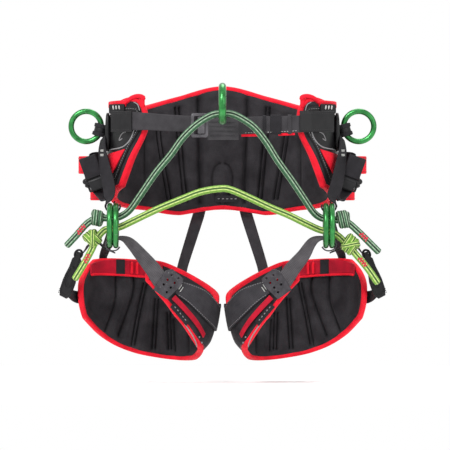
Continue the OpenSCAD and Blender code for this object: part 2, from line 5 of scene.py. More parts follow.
import bmesh
import bpy
import numpy as np
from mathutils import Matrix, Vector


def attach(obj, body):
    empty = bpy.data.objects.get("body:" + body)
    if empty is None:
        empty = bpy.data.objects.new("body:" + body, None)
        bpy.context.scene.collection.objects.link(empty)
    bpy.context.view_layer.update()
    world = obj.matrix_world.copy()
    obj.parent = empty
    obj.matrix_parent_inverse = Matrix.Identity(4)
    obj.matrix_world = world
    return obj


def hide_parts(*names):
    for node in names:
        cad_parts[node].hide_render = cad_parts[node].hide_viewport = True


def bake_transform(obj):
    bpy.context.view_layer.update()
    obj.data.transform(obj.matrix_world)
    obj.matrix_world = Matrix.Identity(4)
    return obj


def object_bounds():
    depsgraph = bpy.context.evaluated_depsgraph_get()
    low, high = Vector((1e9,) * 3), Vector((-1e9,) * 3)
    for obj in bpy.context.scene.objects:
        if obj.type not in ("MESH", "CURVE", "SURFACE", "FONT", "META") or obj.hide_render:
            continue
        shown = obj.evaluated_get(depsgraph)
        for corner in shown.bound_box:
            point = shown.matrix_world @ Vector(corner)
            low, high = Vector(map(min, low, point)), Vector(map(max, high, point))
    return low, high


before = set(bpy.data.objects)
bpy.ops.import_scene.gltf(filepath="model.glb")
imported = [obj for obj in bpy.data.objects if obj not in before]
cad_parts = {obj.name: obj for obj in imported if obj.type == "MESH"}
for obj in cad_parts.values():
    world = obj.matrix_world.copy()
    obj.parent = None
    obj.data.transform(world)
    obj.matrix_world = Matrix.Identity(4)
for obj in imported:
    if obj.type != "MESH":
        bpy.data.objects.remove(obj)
cad_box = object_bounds()

# Lengths are in millimetres, in the frame's axes, and MM turns them into metres.
MM = 0.001
SIDES = {"left": -1, "right": 1}

# ---- Camera and light ----

MIDDLE = (0, 0, -0.12)
# A long lens from far off, so that the front view has hardly any perspective
CAMERA_AT = (0.004, -8, -0.12)
CAMERA_LENS = 400


def add_to_scene(name, data):
    obj = bpy.data.objects.new(name, data)
    bpy.context.scene.collection.objects.link(obj)
    return obj


def add_camera():
    data = bpy.data.cameras.new("view")
    data.lens = CAMERA_LENS
    data.sensor_width = 36
    data.clip_end = 40
    camera = add_to_scene("view", data)
    camera.location = CAMERA_AT
    camera.rotation_euler = (math.radians(90), 0, 0)
    bpy.context.scene.camera = camera


def add_light(name, at, towards, size, watts):
    data = bpy.data.lights.new(name, "AREA")
    data.size = size
    data.energy = watts
    light = add_to_scene(name, data)
    light.location = at
    aim = np.array(towards, float) - np.array(at, float)
    flat = math.hypot(aim[0], aim[1])
    light.rotation_euler = (math.atan2(flat, -aim[2]), 0, math.atan2(aim[1], aim[0]) - math.pi / 2)


def add_lights():
    add_light("key", (-1.4, -2.6, 2.2), MIDDLE, 1.2, 95)
    add_light("fill", (2.2, -2.4, 0.8), MIDDLE, 1.8, 20)
    add_light("top", (0.2, 1.2, 2.6), MIDDLE, 1.6, 40)
    world = bpy.data.worlds.new("studio")
    world.use_nodes = True
    background = world.node_tree.nodes["Background"]
    background.inputs["Color"].default_value = (1, 1, 1, 1)
    background.inputs["Strength"].default_value = 1.0
    bpy.context.scene.world = world
    bpy.context.scene.view_settings.view_transform = "Standard"


# ---- Curves and lattices ----


def unit(v):
    v = np.asarray(v, float)
    return v / np.maximum(np.linalg.norm(v, axis=-1, keepdims=True), 1e-9)


def lerp(a, b, t):
    return a + (b - a) * t


def xyz(*parts):
    """Points from coordinates that are numbers or arrays of matching shapes."""
    return np.stack(np.broadcast_arrays(*parts), -1)


def around(count, shift=0.0):
    """Angles of points spaced evenly round a circle."""
    return (np.arange(count) + shift) / count * 2 * math.pi


def squared(wave, power):
    """A sine or cosine flattened towards a square wave, the more the smaller the power."""
    return np.sign(wave) * np.abs(wave) ** power


def curve(p, t):
    """Smooth curve through numbers or points, at positions t counted in points."""
    p = np.asarray(p, float)
    t = np.asarray(t, float)
    i = np.clip(np.floor(t), 0, len(p) - 2).astype(int)
    f = t - i
    if p.ndim == 2:
        f = f[..., None]
    a, b, c, d = p[np.maximum(i - 1, 0)], p[i], p[i + 1], p[np.minimum(i + 2, len(p) - 1)]
    square, cube = (2 * a - 5 * b + 4 * c - d) * f**2, (3 * b - a - 3 * c + d) * f**3
    return (2 * b + (c - a) * f + square + cube) / 2


def smooth(p, n):
    return curve(p, np.linspace(0, len(p) - 1, (len(p) - 1) * n + 1))


def arc(p):
    """Distance along a line of points."""
    return np.concatenate([[0], np.cumsum(np.linalg.norm(np.diff(p, axis=0), axis=1))])


def resample(p, step):
    p = np.asarray(p, float)
    s = arc(p)
    at = np.linspace(0, s[-1], max(2, int(round(s[-1] / step)) + 1))
    return np.stack([np.interp(at, s, p[:, k]) for k in range(p.shape[1])], -1)


def tangents(p, closed=False):
    if closed:
        return unit(np.roll(p, -1, 0) - np.roll(p, 1, 0))
    return unit(np.gradient(p, axis=0))


def lattice(rows, cols, ring=False, loop=False):
    """Quads over rows x cols points, and each corner's row and column before wrapping."""
    i, j = np.indices((rows if loop else rows - 1, cols if ring else cols - 1)).reshape(2, -1)
    corners = np.stack([xyz(i, j), xyz(i, j + 1), xyz(i + 1, j + 1), xyz(i + 1, j)], 1)
    return (corners[..., 0] % rows) * cols + corners[..., 1] % cols, corners


class Shape:
    """Points, faces and one texture coordinate (in millimetres) per face corner."""

    def __init__(self, points=(), faces=(), uvs=()):
        self.points = np.asarray(points, float).reshape(-1, 3)
        self.faces = [tuple(int(k) for k in f) for f in faces]
        self.uvs = [np.asarray(u, float) for u in uvs]

    def add(self, other):
        start = len(self.points)
        self.points = np.concatenate([self.points, other.points])
        self.faces += [tuple(k + start for k in f) for f in other.faces]
        self.uvs += other.uvs
        return self

    def moved(self, matrix, at=(0, 0, 0)):
        points = self.points @ np.asarray(matrix, float).T + np.asarray(at, float)
        return Shape(points, self.faces, self.uvs)

    def on_side(self, side):
        """The shape is drawn for the -X side; its mirror image belongs to the other."""
        return self if side < 0 else self.moved(np.diag([-1, 1, 1]))


def turn_y(degrees):
    c, s = math.cos(math.radians(degrees)), math.sin(math.radians(degrees))
    return np.array([[c, 0, s], [0, 1, 0], [-s, 0, c]])


def turn_z(degrees):
    c, s = math.cos(math.radians(degrees)), math.sin(math.radians(degrees))
    return np.array([[c, -s, 0], [s, c, 0], [0, 0, 1]])


def rings_shape(rings, closed, across_uv):
    """Closed solid through rings of points; across_uv holds each ring corner's texture place."""
    rings = np.asarray(rings, float)
    n, m = rings.shape[:2]
    faces, corners = lattice(n, m, ring=True, loop=closed)
    middle = rings.mean(axis=1)
    along = arc(np.concatenate([middle, middle[:1]]))
    uvs = np.stack([np.asarray(across_uv)[corners[..., 1]], along[corners[..., 0]]], -1)
    faces, uvs = list(faces), list(uvs)
    if not closed:
        faces += [np.arange(m), np.arange((n - 1) * m, n * m)[::-1]]
        uvs += [np.zeros((m, 2)), np.zeros((m, 2))]
    return Shape(rings.reshape(-1, 3), faces, uvs)


def strap_section(steps=3, across=9):
    """Points round a strap's section, each as three shares.

    The first is of the flat part's half width, and the others are of the half thickness, along
    the width and across it.
    """
    q = np.radians(np.linspace(-90, 90, steps * 2 + 1))
    flat = np.linspace(1, -1, across)[1:-1]
    right = xyz(1, np.cos(q), np.sin(q))
    top = xyz(flat, 0, 1)
    return np.concatenate([right, top, -right, -top])


def sweep_strap(path, across, widths, thick, closed=False):
    """Flat strap along a path, with rounded edges; across is the direction of its width."""
    path = np.asarray(path, float)
    t = tangents(path, closed)
    across = np.broadcast_to(np.asarray(across, float), path.shape)
    w = unit(across - np.sum(across * t, -1, keepdims=True) * t)
    h = np.cross(t, w)
    round_off = np.broadcast_to(np.asarray(thick, float) / 2, (len(path),))[:, None]
    inner = np.broadcast_to(np.asarray(widths, float) / 2, (len(path),))[:, None] - round_off
    section = strap_section()
    x = section[:, 0] * inner + section[:, 1] * round_off
    y = section[:, 2] * round_off
    rings = path[:, None] + x[..., None] * w[:, None] + y[..., None] * h[:, None]
    middle = x[len(x) // 2]
    return rings_shape(rings, closed, np.append(middle, middle[0]))


def strap(stops, thick, n=10):
    """Strap from a few stops, each (point, direction of width, width)."""
    return sweep_strap(
        smooth([s[0] for s in stops], n),
        smooth([s[1] for s in stops], n),
        smooth([s[2] for s in stops], n),
        thick,
    )


def carried(path, first):
    """A direction across the path, turned as little as possible."""
    t = tangents(path)
    u = np.zeros_like(path)
    last = np.asarray(first, float)
    for i in range(len(path)):
        last = last - np.dot(last, t[i]) * t[i]
        last = last / np.linalg.norm(last)
        u[i] = last
    return u, np.cross(t, u)


def tube(path, radius, sides=16, first=(0, -1, 0.2), round_ends=0.0):
    """Round tube; radius is a number, one per point, or one per point and side."""
    path = np.asarray(path, float)
    u, v = carried(path, first)
    q = around(sides)
    r = np.asarray(radius, float)
    r = r * np.ones((len(path), sides)) if r.ndim != 1 else r[:, None] * np.ones((1, sides))
    if round_ends:
        s = arc(path)
        near = np.clip(np.minimum(s, s[-1] - s) / round_ends, 0, 1)
        r = r * (0.35 + 0.65 * np.sqrt(1 - (1 - near) ** 2))[:, None]
    ring = np.cos(q)[None, :, None] * u[:, None] + np.sin(q)[None, :, None] * v[:, None]
    rings = path[:, None] + r[..., None] * ring
    return rings_shape(rings, False, np.arange(sides + 1) / sides)


def shell(front, back):
    """Closed sheet between two grids of points."""
    front, back = np.asarray(front, float), np.asarray(back, float)
    n, m = front.shape[:2]
    quads, corners = lattice(n, m)
    s = arc(front[:, m // 2])
    w = arc(front[n // 2])
    uv = np.stack([w[corners[..., 1]], s[corners[..., 0]]], -1)
    rim = [i * m for i in range(n)] + [(n - 1) * m + j for j in range(1, m)]
    rim += [i * m + m - 1 for i in range(n - 2, -1, -1)] + list(range(m - 2, 0, -1))
    o = n * m
    sides = [(a, b, b + o, a + o) for a, b in zip(rim, rim[1:] + rim[:1])]
    faces = list(quads) + [q[::-1] + o for q in quads] + sides
    uvs = list(uv) + [u[::-1] for u in uv] + [np.zeros((4, 2))] * len(sides)
    return Shape(np.concatenate([front.reshape(-1, 3), back.reshape(-1, 3)]), faces, uvs)


# Rounds the section of folded tape: 1 makes an ellipse, and less makes it squarer
FOLD_ROUNDNESS = 0.72


def edge_band(path, normals, through, along, sides=14):
    """Folded tape round a closed loop; normals point through the sheet that it binds."""
    t = tangents(path, closed=True)
    a = unit(normals - np.sum(normals * t, -1, keepdims=True) * t)
    b = np.cross(t, a)
    q = around(sides, 0.5)
    ca, sb = squared(np.cos(q), FOLD_ROUNDNESS), squared(np.sin(q), FOLD_ROUNDNESS)
    fold = through * ca[None, :, None] * a[:, None]
    rings = path[:, None] + fold + along * sb[None, :, None] * b[:, None]
    return rings_shape(rings, True, np.arange(sides + 1) / sides * 4 * along)


def stitches(path, pitch=4.4, length=2.9, radius=0.42):
    """A row of short raised stitches along a path on a surface."""
    path = resample(path, 0.6)
    s = arc(path)
    shape = Shape()
    q = around(5)
    swell = np.array([0.3, 0.9, 0.9, 0.3])
    places = np.array([-0.5, -0.32, 0.32, 0.5]) * length
    for at in np.arange(pitch / 2, s[-1] - pitch / 2 + 0.01, pitch):
        mid = np.array([np.interp(at, s, path[:, k]) for k in range(3)])
        ahead = np.array([np.interp(min(at + 0.8, s[-1]), s, path[:, k]) for k in range(3)])
        t = unit(ahead - mid)
        u = unit(np.cross(t, [0.31, 0.52, 0.8]))
        v = np.cross(t, u)
        ring = np.cos(q)[None, :, None] * u + np.sin(q)[None, :, None] * v
        rings = (mid + places[:, None] * t)[:, None] + radius * swell[:, None, None] * ring
        shape.add(rings_shape(rings, False, np.zeros(6)))
    return shape


def bartack(at, along, across, size, rows=7, radius=0.5):
    """A dense block of stitches: rows of thread side by side."""
    shape = Shape()
    for k in np.linspace(-0.5, 0.5, rows):
        end = np.asarray(across, float) * size[1] / 2
        mid = np.asarray(at, float) + k * size[0] * np.asarray(along, float)
        shape.add(tube(resample([mid - end, mid + end], size[1] / 6), radius, 6, (0.1, -1, 0.3), 0.8))
    return shape


# ---- Materials ----


def colour(red, green, blue):
    """Linear colour from 8-bit display values."""

    def linear(c):
        c = c / 255
        return c / 12.92 if c <= 0.04045 else ((c + 0.055) / 1.055) ** 2.4

    return (linear(red), linear(green), linear(blue), 1)


class Look:
    """A material built from a few nodes on one Principled shader."""

    def __init__(self, name, **sockets):
        self.material = bpy.data.materials.new(name)
        self.material.use_nodes = True
        self.tree = self.material.node_tree
        self.shader = self.tree.nodes["Principled BSDF"]
        self.set(self.shader, **sockets)

    def feed(self, socket, value):
        if isinstance(value, bpy.types.NodeSocket):
            self.tree.links.new(value, socket)
        else:
            socket.default_value = value

    def set(self, node, **sockets):
        for key, value in sockets.items():
            self.feed(node.inputs[key.replace("_", " ")], value)

    def tint(self, value):
        self.set(self.shader, Base_Color=value)

    def node(self, kind, **sockets):
        node = self.tree.nodes.new(kind)
        self.set(node, **sockets)
        return node

    def maths(self, operation, *values):
        node = self.tree.nodes.new("ShaderNodeMath")
        node.operation = operation
        for k, value in enumerate(values):
            self.feed(node.inputs[k], value)
        return node.outputs[0]

    def plus(self, a, b):
        return self.maths("ADD", a, b)

    def times(self, a, b):
        return self.maths("MULTIPLY", a, b)

    def times_plus(self, a, b, c):
        return self.maths("MULTIPLY_ADD", a, b, c)

    def place(self):
        return self.node("ShaderNodeTexCoord").outputs["Object"]

    def across_along(self):
        split = self.node("ShaderNodeSeparateXYZ", Vector=self.node("ShaderNodeTexCoord").outputs["UV"])
        return split.outputs["X"], split.outputs["Y"]

    def noise(self, millimetres, detail=3.0, stretch=None):
        vector = self.place()
        if stretch:
            vector = self.node("ShaderNodeMapping", Vector=vector, Scale=stretch).outputs["Vector"]
        return self.node(
            "ShaderNodeTexNoise", Vector=vector, Scale=1 / (millimetres * MM), Detail=detail
        ).outputs["Fac"]

    def cells(self, millimetres, feature="F1"):
        node = self.node("ShaderNodeTexVoronoi", Vector=self.place(), Scale=1 / (millimetres * MM))
        node.feature = feature
        return node.outputs["Distance"]

    def ramp(self, factor, *stops):
        node = self.node("ShaderNodeValToRGB", Fac=factor)
        ramp = node.color_ramp
        while len(ramp.elements) < len(stops):
            ramp.elements.new(0.5)
        for element, (place, value) in zip(ramp.elements, stops):
            element.position = place
            element.color = value
        return node.outputs["Color"]

    def wave(self, value, period, phase=0.0):
        """Sine of a length in millimetres, from 0 to 1."""
        angle = self.times_plus(value, 2 * math.pi / period, phase)
        return self.times_plus(self.maths("SINE", angle), 0.5, 0.5)

    def mix(self, factor, one, two, blend="MIX"):
        """Mixes two colours; the mix node's sockets 0, 6 and 7 are its factor and its colours."""
        node = self.tree.nodes.new("ShaderNodeMix")
        node.data_type = "RGBA"
        node.blend_type = blend
        for k, value in {0: factor, 6: one, 7: two}.items():
            self.feed(node.inputs[k], value)
        return node.outputs[2]

    def bump(self, height, millimetres, strength=1.0):
        node = self.node(
            "ShaderNodeBump", Height=height, Distance=millimetres * MM, Strength=strength
        )
        self.set(self.shader, Normal=node.outputs["Normal"])

    def rough(self, factor, low, high):
        self.set(self.shader, Roughness=self.times_plus(factor, high - low, low))


def spacer_fabric():
    """Knitted spacer mesh: small closed cells over a black foam, with soft cloudy fading, and painted
    shade that darkens it to near black along its creases.
    """
    look = Look("spacer_fabric", Specular_IOR_Level=0.12, Sheen_Weight=0.02, Sheen_Roughness=0.4)
    cells = look.cells(1.5)
    cloud = look.noise(26, 3)
    # Painted shade: where the surface folds inwards (low pointiness, along the sewn channels and
    # quilting creases) the colour is mixed towards near black.
    crease = look.node("ShaderNodeNewGeometry").outputs["Pointiness"]
    depth = look.ramp(crease, (0.4, (0, 0, 0, 1)), (0.495, (1, 1, 1, 1)))
    cloth = look.ramp(cloud, (0.32, colour(31, 29, 32)), (0.7, colour(48, 46, 49)))
    base = look.mix(depth, colour(4, 4, 5), cloth)
    holes = look.ramp(cells, (0.0, (0.35, 0.35, 0.35, 1)), (0.5, (1.25, 1.25, 1.25, 1)))
    look.tint(look.mix(0.55, base, holes, "MULTIPLY"))
    look.rough(cloud, 0.62, 0.85)
    look.bump(look.plus(cells, look.times(look.noise(0.5, 1), 0.3)), 0.45, 0.55)
    return look.material


def woven_tape(name, dark, bright):
    """Binding and folded tape: fine ribs across it and a twill of threads."""
    look = Look(name, Specular_IOR_Level=0.15, Sheen_Weight=0.03, Sheen_Roughness=0.4)
    across, along = look.across_along()
    ribs = look.wave(along, 1.5)
    twill = look.wave(look.plus(across, look.times(along, 1.4)), 1.1)
    weave = look.times_plus(twill, 0.45, look.times(ribs, 0.55))
    cloud = look.noise(17, 4)
    shade = look.times_plus(weave, 0.35, look.times(cloud, 0.75))
    look.tint(look.ramp(shade, (0.2, dark), (0.75, bright)))
    look.rough(cloud, 0.55, 0.8)
    look.bump(weave, 0.22, 0.7)
    return look.material


def webbing(name, dark, bright, rib=2.4):
    """Nylon webbing: a herringbone of ribs and fuzz."""
    look = Look(name, Specular_IOR_Level=0.15, Sheen_Weight=0.03, Sheen_Roughness=0.4)
    across, along = look.across_along()
    fold = look.maths("PINGPONG", look.plus(across, 60.0), 3.2)
    chevron = look.wave(look.plus(along, look.times(fold, 0.8)), rib)
    threads = look.wave(across, 1.3)
    weave = look.times_plus(chevron, 0.6, look.times(threads, 0.4))
    fuzz = look.noise(0.6, 2)
    cloud = look.noise(14, 3)
    shade = look.times_plus(weave, 0.45, look.times(cloud, 0.6))
    look.tint(look.ramp(shade, (0.2, dark), (0.8, bright)))
    look.rough(cloud, 0.6, 0.82)
    look.bump(look.times_plus(fuzz, 0.25, weave), 0.32, 0.8)
    return look.material


def leatherette():
    """Coated abrasion panel: pebbled grain, glossier on the crests and dull where rubbed."""
    look = Look("leatherette", Specular_IOR_Level=0.3, Coat_Weight=0.03, Coat_Roughness=0.4)
    grain = look.cells(1.1, "SMOOTH_F1")
    cloud = look.noise(22, 4)
    look.tint(look.ramp(cloud, (0.35, colour(12, 11, 13)), (0.7, colour(24, 23, 25))))
    look.rough(look.times_plus(grain, 0.4, look.times(cloud, 0.6)), 0.3, 0.62)
    look.bump(look.times_plus(look.noise(0.35, 2), 0.3, grain), 0.3, 0.5)
    return look.material


# A rope's sheath: strands in each direction, and how their pattern's phase shifts along the rope,
# in radians for each millimetre
STRANDS = 10
STRAND_LAY = 0.62


def braided_rope(name, dark, base, pale):
    """Braided sheath: crossing strands, two pale tracers beside a dark line, fine fibres, darkened at
    random and with painted shade in the gaps between strands.
    """
    look = Look(name, Specular_IOR_Level=0.3, Sheen_Weight=0.06, Sheen_Roughness=0.4)
    turn, along = look.across_along()
    ways = [
        look.maths("SINE", look.times_plus(turn, 2 * math.pi * STRANDS, look.times(along, lay)))
        for lay in (STRAND_LAY, -STRAND_LAY)
    ]
    braid = look.times_plus(look.maths("MAXIMUM", *ways), 0.5, 0.5)
    # distance from the nearest of three lines along the rope, 0 on the line
    line = look.maths("PINGPONG", look.times(turn, 3.0), 0.5)
    stripes = look.ramp(
        line, (0.0, dark), (0.1, dark), (0.15, pale), (0.24, pale), (0.3, base), (1.0, base)
    )
    # Darker at random from noise, and painted shade: darker where the braid is low, in the gaps between
    # the raised strands.
    mottle_and_strand_height = look.times_plus(look.noise(3.5, 3), 0.6, look.times(braid, 0.5))
    mottled_and_gap_shaded = look.mix(look.ramp(mottle_and_strand_height, (0.3, (1, 1, 1, 1)), (0.7, (0, 0, 0, 1))), stripes, dark)
    look.tint(look.mix(0.45, stripes, mottled_and_gap_shaded))
    look.rough(braid, 0.85, 0.6)
    look.bump(look.times_plus(look.noise(0.5, 2), 0.25, braid), 0.5, 0.8)
    return look.material


def alloy(name, dark, bright, low, high):
    """Forged and anodised alloy: satin, faint brushing, and small scuffs worn pale."""
    look = Look(name, Metallic=0.72, Specular_IOR_Level=0.5, Coat_Weight=0.25, Coat_Roughness=0.18)
    cloud = look.noise(9, 4)
    brushed = look.noise(2.2, 2, (1, 1, 9))
    scuffs = look.ramp(look.noise(3.1, 6), (0.66, (0, 0, 0, 1)), (0.72, (1, 1, 1, 1)))
    tone = look.times_plus(brushed, 0.35, look.times(cloud, 0.65))
    base = look.ramp(tone, (0.3, dark), (0.7, bright))
    worn = look.mix(look.times(scuffs, 0.25), base, colour(205, 212, 205))
    look.tint(worn)
    look.rough(tone, low, high)
    look.bump(brushed, 0.05, 0.5)
    return look.material


def moulded_plastic():
    """Glass-filled nylon: fine spark-eroded texture with slightly rubbed patches."""
    look = Look("moulded_plastic", Specular_IOR_Level=0.3)
    grain = look.noise(0.7, 3)
    cloud = look.noise(11, 3)
    look.tint(look.ramp(cloud, (0.3, colour(10, 10, 12)), (0.75, colour(25, 24, 27))))
    look.rough(cloud, 0.3, 0.58)
    look.bump(grain, 0.12, 0.5)
    return look.material


def thread(name, one):
    look = Look(name, Specular_IOR_Level=0.3, Sheen_Weight=0.2)
    twist = look.noise(0.8, 2)
    dim = tuple(0.7 * c for c in one[:3]) + (1,)
    look.tint(look.ramp(twist, (0.3, dim), (0.7, one)))
    look.rough(twist, 0.5, 0.75)
    look.bump(twist, 0.15, 0.5)
    return look.material


def floor_paper():
    look = Look("floor_paper", Specular_IOR_Level=0.1)
    fibre = look.noise(30, 4)
    look.tint(look.ramp(fibre, (0.3, colour(246, 246, 246)), (0.7, colour(252, 252, 252))))
    look.rough(fibre, 0.8, 0.95)
    return look.material


CRIMSON = (colour(176, 8, 30), colour(244, 28, 50))
DEEP_RED = (colour(122, 10, 30), colour(184, 18, 44))
LOOKS = {
    "spacer": spacer_fabric(),
    "binding": woven_tape("binding_tape", *CRIMSON),
    "hem": woven_tape("hem_tape", *DEEP_RED),
    "leatherette": leatherette(),
    "black_web": webbing("black_webbing", colour(18, 17, 19), colour(44, 42, 46)),
    "grey_web": webbing("grey_webbing", colour(34, 32, 35), colour(66, 64, 67)),
    "patch_web": webbing("patch_webbing", colour(42, 40, 43), colour(80, 78, 81)),
    "leg_web": webbing("leg_webbing", colour(46, 44, 47), colour(86, 83, 86)),
    "riser_web": webbing("riser_webbing", colour(32, 31, 34), colour(64, 62, 66)),
    "dark_rope": braided_rope(
        "dark_rope", colour(18, 42, 28), colour(50, 92, 62), colour(146, 172, 144)
    ),
    "light_rope": braided_rope(
        "light_rope", colour(52, 88, 36), colour(112, 156, 58), colour(190, 208, 126)
    ),
    "green": alloy("green_anodised", colour(18, 84, 36), colour(54, 146, 70), 0.2, 0.38),
    "steel": alloy("grey_alloy", colour(38, 36, 40), colour(74, 71, 76), 0.3, 0.5),
    "buckle": alloy("buckle_alloy", colour(62, 60, 64), colour(108, 105, 110), 0.3, 0.5),
    "plastic": moulded_plastic(),
    "red_thread": thread("red_thread", colour(214, 40, 66)),
    "dark_thread": thread("dark_thread", colour(30, 28, 30)),
    "grey_thread": thread("grey_thread", colour(138, 136, 138)),
    "pale_thread": thread("pale_thread", colour(196, 196, 192)),
}

# ---- Pieces ----


def piece(name, shape, body, look, nodes=(), sharp=50, bevel=0.0):
    """Makes a mesh object from a shape, rides it on its body and hides the CAD parts that it stands for.
    """
    mesh = bpy.data.meshes.new(name)
    mesh.from_pydata((shape.points * MM).tolist(), [], shape.faces)
    layer = mesh.uv_layers.new(name="UVMap")
    layer.data.foreach_set("uv", np.concatenate(shape.uvs).ravel().astype(np.float32))
    tidy = bmesh.new()
    tidy.from_mesh(mesh)
    bmesh.ops.recalc_face_normals(tidy, faces=tidy.faces)
    tidy.to_mesh(mesh)
    tidy.free()
    mesh.shade_smooth()
    mesh.set_sharp_from_angle(angle=math.radians(sharp))
    mesh.materials.append(LOOKS[look])
    obj = add_to_scene(name, mesh)
    if bevel:
        add_bevel(obj, bevel)
    if isinstance(body, str):
        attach(obj, body)
    else:
        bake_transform(obj)
    if nodes:
        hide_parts(*([nodes] if isinstance(nodes, str) else nodes))
    return obj


def sheet(obj):
    """Returns the object as it is."""
    return obj


def add_bevel(obj, width):
    bevel = obj.modifiers.new("rounded edges", "BEVEL")
    bevel.width = width * MM
    bevel.segments = 2
    bevel.limit_method = "ANGLE"
    bevel.angle_limit = math.radians(35)
    bevel.harden_normals = False


WELD_GAP = 0.01


def dress(node, look, bevel=0.0):
    """Keeps a CAD part as it is and gives it a material and, if asked, rounded edges."""
    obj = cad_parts[node]
    for k in range(len(obj.material_slots)):
        obj.material_slots[k].material = LOOKS[look]
    if not obj.material_slots:
        obj.data.materials.append(LOOKS[look])
    if bevel:
        weld = obj.modifiers.new("weld", "WELD")
        weld.merge_threshold = WELD_GAP * MM
        add_bevel(obj, bevel)


# ---- Rope bridges ----

ROPE_R = 5.5
DARK_ROUTE = [
    (-247, -112, -154), (-232, -112, -138), (-214, -109, -118), (-198, -106, -109),
    (-185, -105, -109), (-173, -105, -109), (-160, -106, -106), (-146, -111, -96),
    (-130, -118, -74), (-105, -131, -38), (-81, -141, -9), (-62, -148, 17), (-40, -156, 38),
    (-17, -163, 52), (0, -165, 55), (15, -163, 54), (32, -158, 46), (50, -151, 33),
    (68, -145, 11), (87, -138, -19), (110, -128, -51), (127, -120, -76), (142, -112, -98),
    (154, -106, -108), (168, -105, -111), (180, -105, -112), (196, -107, -115),
    (214, -110, -130), (232, -112, -148), (248, -112, -164),
]
LIGHT_ROUTE = [
    (-234, -112, -207), (-220, -112, -184), (-208, -110, -162), (-197, -107, -140),
    (-186, -105, -128), (-173, -105, -126), (-159, -106, -122), (-140, -114, -113),
    (-102, -130, -95), (-63, -143, -79), (-34, -150, -68), (-4, -153, -63), (14, -152, -65),
    (44, -147, -78), (74, -139, -92), (103, -129, -104), (132, -116, -118),
    (152, -107, -127), (168, -105, -131), (181, -105, -136), (195, -107, -149),
    (212, -110, -168), (230, -112, -190), (246, -112, -213),
]


def rope_line(route, start, end):
    count = int((end - start) * 24)
    return resample(curve(route, np.linspace(start, end, count)), 1.6)


def braided_tube(path, radius, sides=40, ends=0.0):
    """Rope with its crossing strands raised a little."""
    s = arc(path)[:, None]
    q = around(sides)[None, :]
    strands = np.maximum(
        np.sin(STRANDS * q + STRAND_LAY * s), np.sin(STRANDS * q - STRAND_LAY * s)
    )
    return tube(path, radius + 0.16 * (strands - 0.6), sides, round_ends=ends)


def barrel_knot(at, turns, pitch, radius, lean, crossing):
    """Turns of rope wound round the standing part; a crossing turn locks the light knots."""
    wrap = radius - 1.4 - 4.6
    turned = np.linspace(0, turns, int(turns * 40) + 1)
    angle = turned * 2 * math.pi + 0.8
    x = (turned - turns / 2) * (pitch * turns - 8.8) / turns
    path = xyz(x, wrap * np.cos(angle), wrap * np.sin(angle))
    tuck = 9
    inward = np.linspace(1, 0, tuck)[:, None]
    first, last = path[0], path[-1]
    into = np.concatenate([lerp(first * (1, 0.35, 0.35), first, 1 - inward)[:-1], path])
    path = np.concatenate([into, lerp(last * (1, 0.35, 0.35), last, inward)[1:]])
    shape = braided_tube(resample(path, 1.6), 4.5, 32, 3.0)
    if crossing:
        across = np.linspace(-1, 1, 40)
        dive = 1 - 0.5 * np.abs(across) ** 3
        over = xyz(
            0.85 * (pitch * turns / 2 - 4) * np.sin(across * math.pi / 2),
            -(wrap + 3.2) * np.cos(1.3 * across) * dive,
            (wrap + 2.0) * np.sin(1.3 * across) * dive,
        )
        shape.add(braided_tube(resample(over, 1.6), 4.2, 32, 3.0))
    return shape.moved(turn_y(lean), at)


def tail_mark(route, t):
    """Zigzag of coloured thread sewn into the front of a rope tail."""
    path = resample(curve(route, np.linspace(t - 0.3, t + 0.3, 40)), 0.4)
    u, v = carried(path, (0, -1, 0.1))
    swing = 0.62 * np.sin(arc(path) / 4.6 * 2 * math.pi)[:, None]
    zigzag = path + (ROPE_R + 0.25) * (np.cos(swing) * u + np.sin(swing) * v)
    return tube(resample(zigzag, 0.6), 0.75, 8, (0.2, -0.9, 0.3), 0.8)


def make_rope(colour_name, route, left_cut, right_cut, knots):
    """One rope: the span between the knots and a free tail outside each of them."""
    node = colour_name + "_rope"
    look = node
    for side, (at, turns, pitch, radius, lean) in knots.items():
        knot = side + "_" + colour_name + "_knot"
        shape = barrel_knot(at, turns, pitch, radius, lean, colour_name == "light")
        piece(knot + "_wraps", shape, "hip_belt", look, knot)
    span = rope_line(route, left_cut, right_cut)
    obj = piece(node + "_span", braided_tube(span, ROPE_R), "hip_belt", look, node)
    last = len(route) - 1
    tails = {"left": (left_cut, 0), "right": (right_cut, last)}
    for side, (start, end) in tails.items():
        line = rope_line(route, min(start, end), max(start, end))
        line = line[::-1] if end < start else line
        name = side + "_" + node + "_tail"
        tail = piece(name, braided_tube(line, ROPE_R, ends=3.0), "hip_belt", look, node)
        at = 1.5 if side == "left" else last - 1.5
        piece(name + "_mark", tail_mark(route, at), "hip_belt", "red_thread")


def make_ropes():
    make_rope("dark", DARK_ROUTE, 3.2, 25.7, {
        "left": ((-197.5, -106, -109), 3, 7.5, 14.5, 12),
        "right": ((191, -106, -111), 3, 7.5, 16, -8),
    })
    make_rope("light", LIGHT_ROUTE, 2.6, 20.3, {
        "left": ((-205, -107, -141), 3, 8.5, 15.5, -38),
        "right": ((202, -107, -151), 3, 9, 16.5, 40),
    })


# ---- Hip belt surface ----

HIP_PLAN = [
    (0, 115), (68, 108), (120, 80), (157, 35), (173, -15), (168, -58), (146, -92), (122, -106)
]
HIP_TOP = [101, 85, 70, 58, 58, 68, 78, 74]
HIP_BOTTOM = [-91, -100, -93, -88, -79, -63, -52, -49]
PAD_HALF = 6
BINDING_HALF = 4.2
WEB_THICK = 2.6


def hip_xy(t):
    t = np.asarray(t, float)
    p = curve([(-68, 108)] + HIP_PLAN, np.abs(t) + 1)
    return p * xyz(np.where(t < 0, -1, 1), 1)


def hip_normal(t):
    d = hip_xy(t + 0.02) - hip_xy(t - 0.02)
    return unit(xyz(-d[..., 1], d[..., 0], 0))


def level(p, t):
    q = np.abs(np.asarray(t, float))
    return np.where(q >= 1, curve(p, q), lerp(p[0], p[1], q * q * (1.9 - 0.9 * q)))


def hip_height(t):
    return level(HIP_TOP, t) - level(HIP_BOTTOM, t)


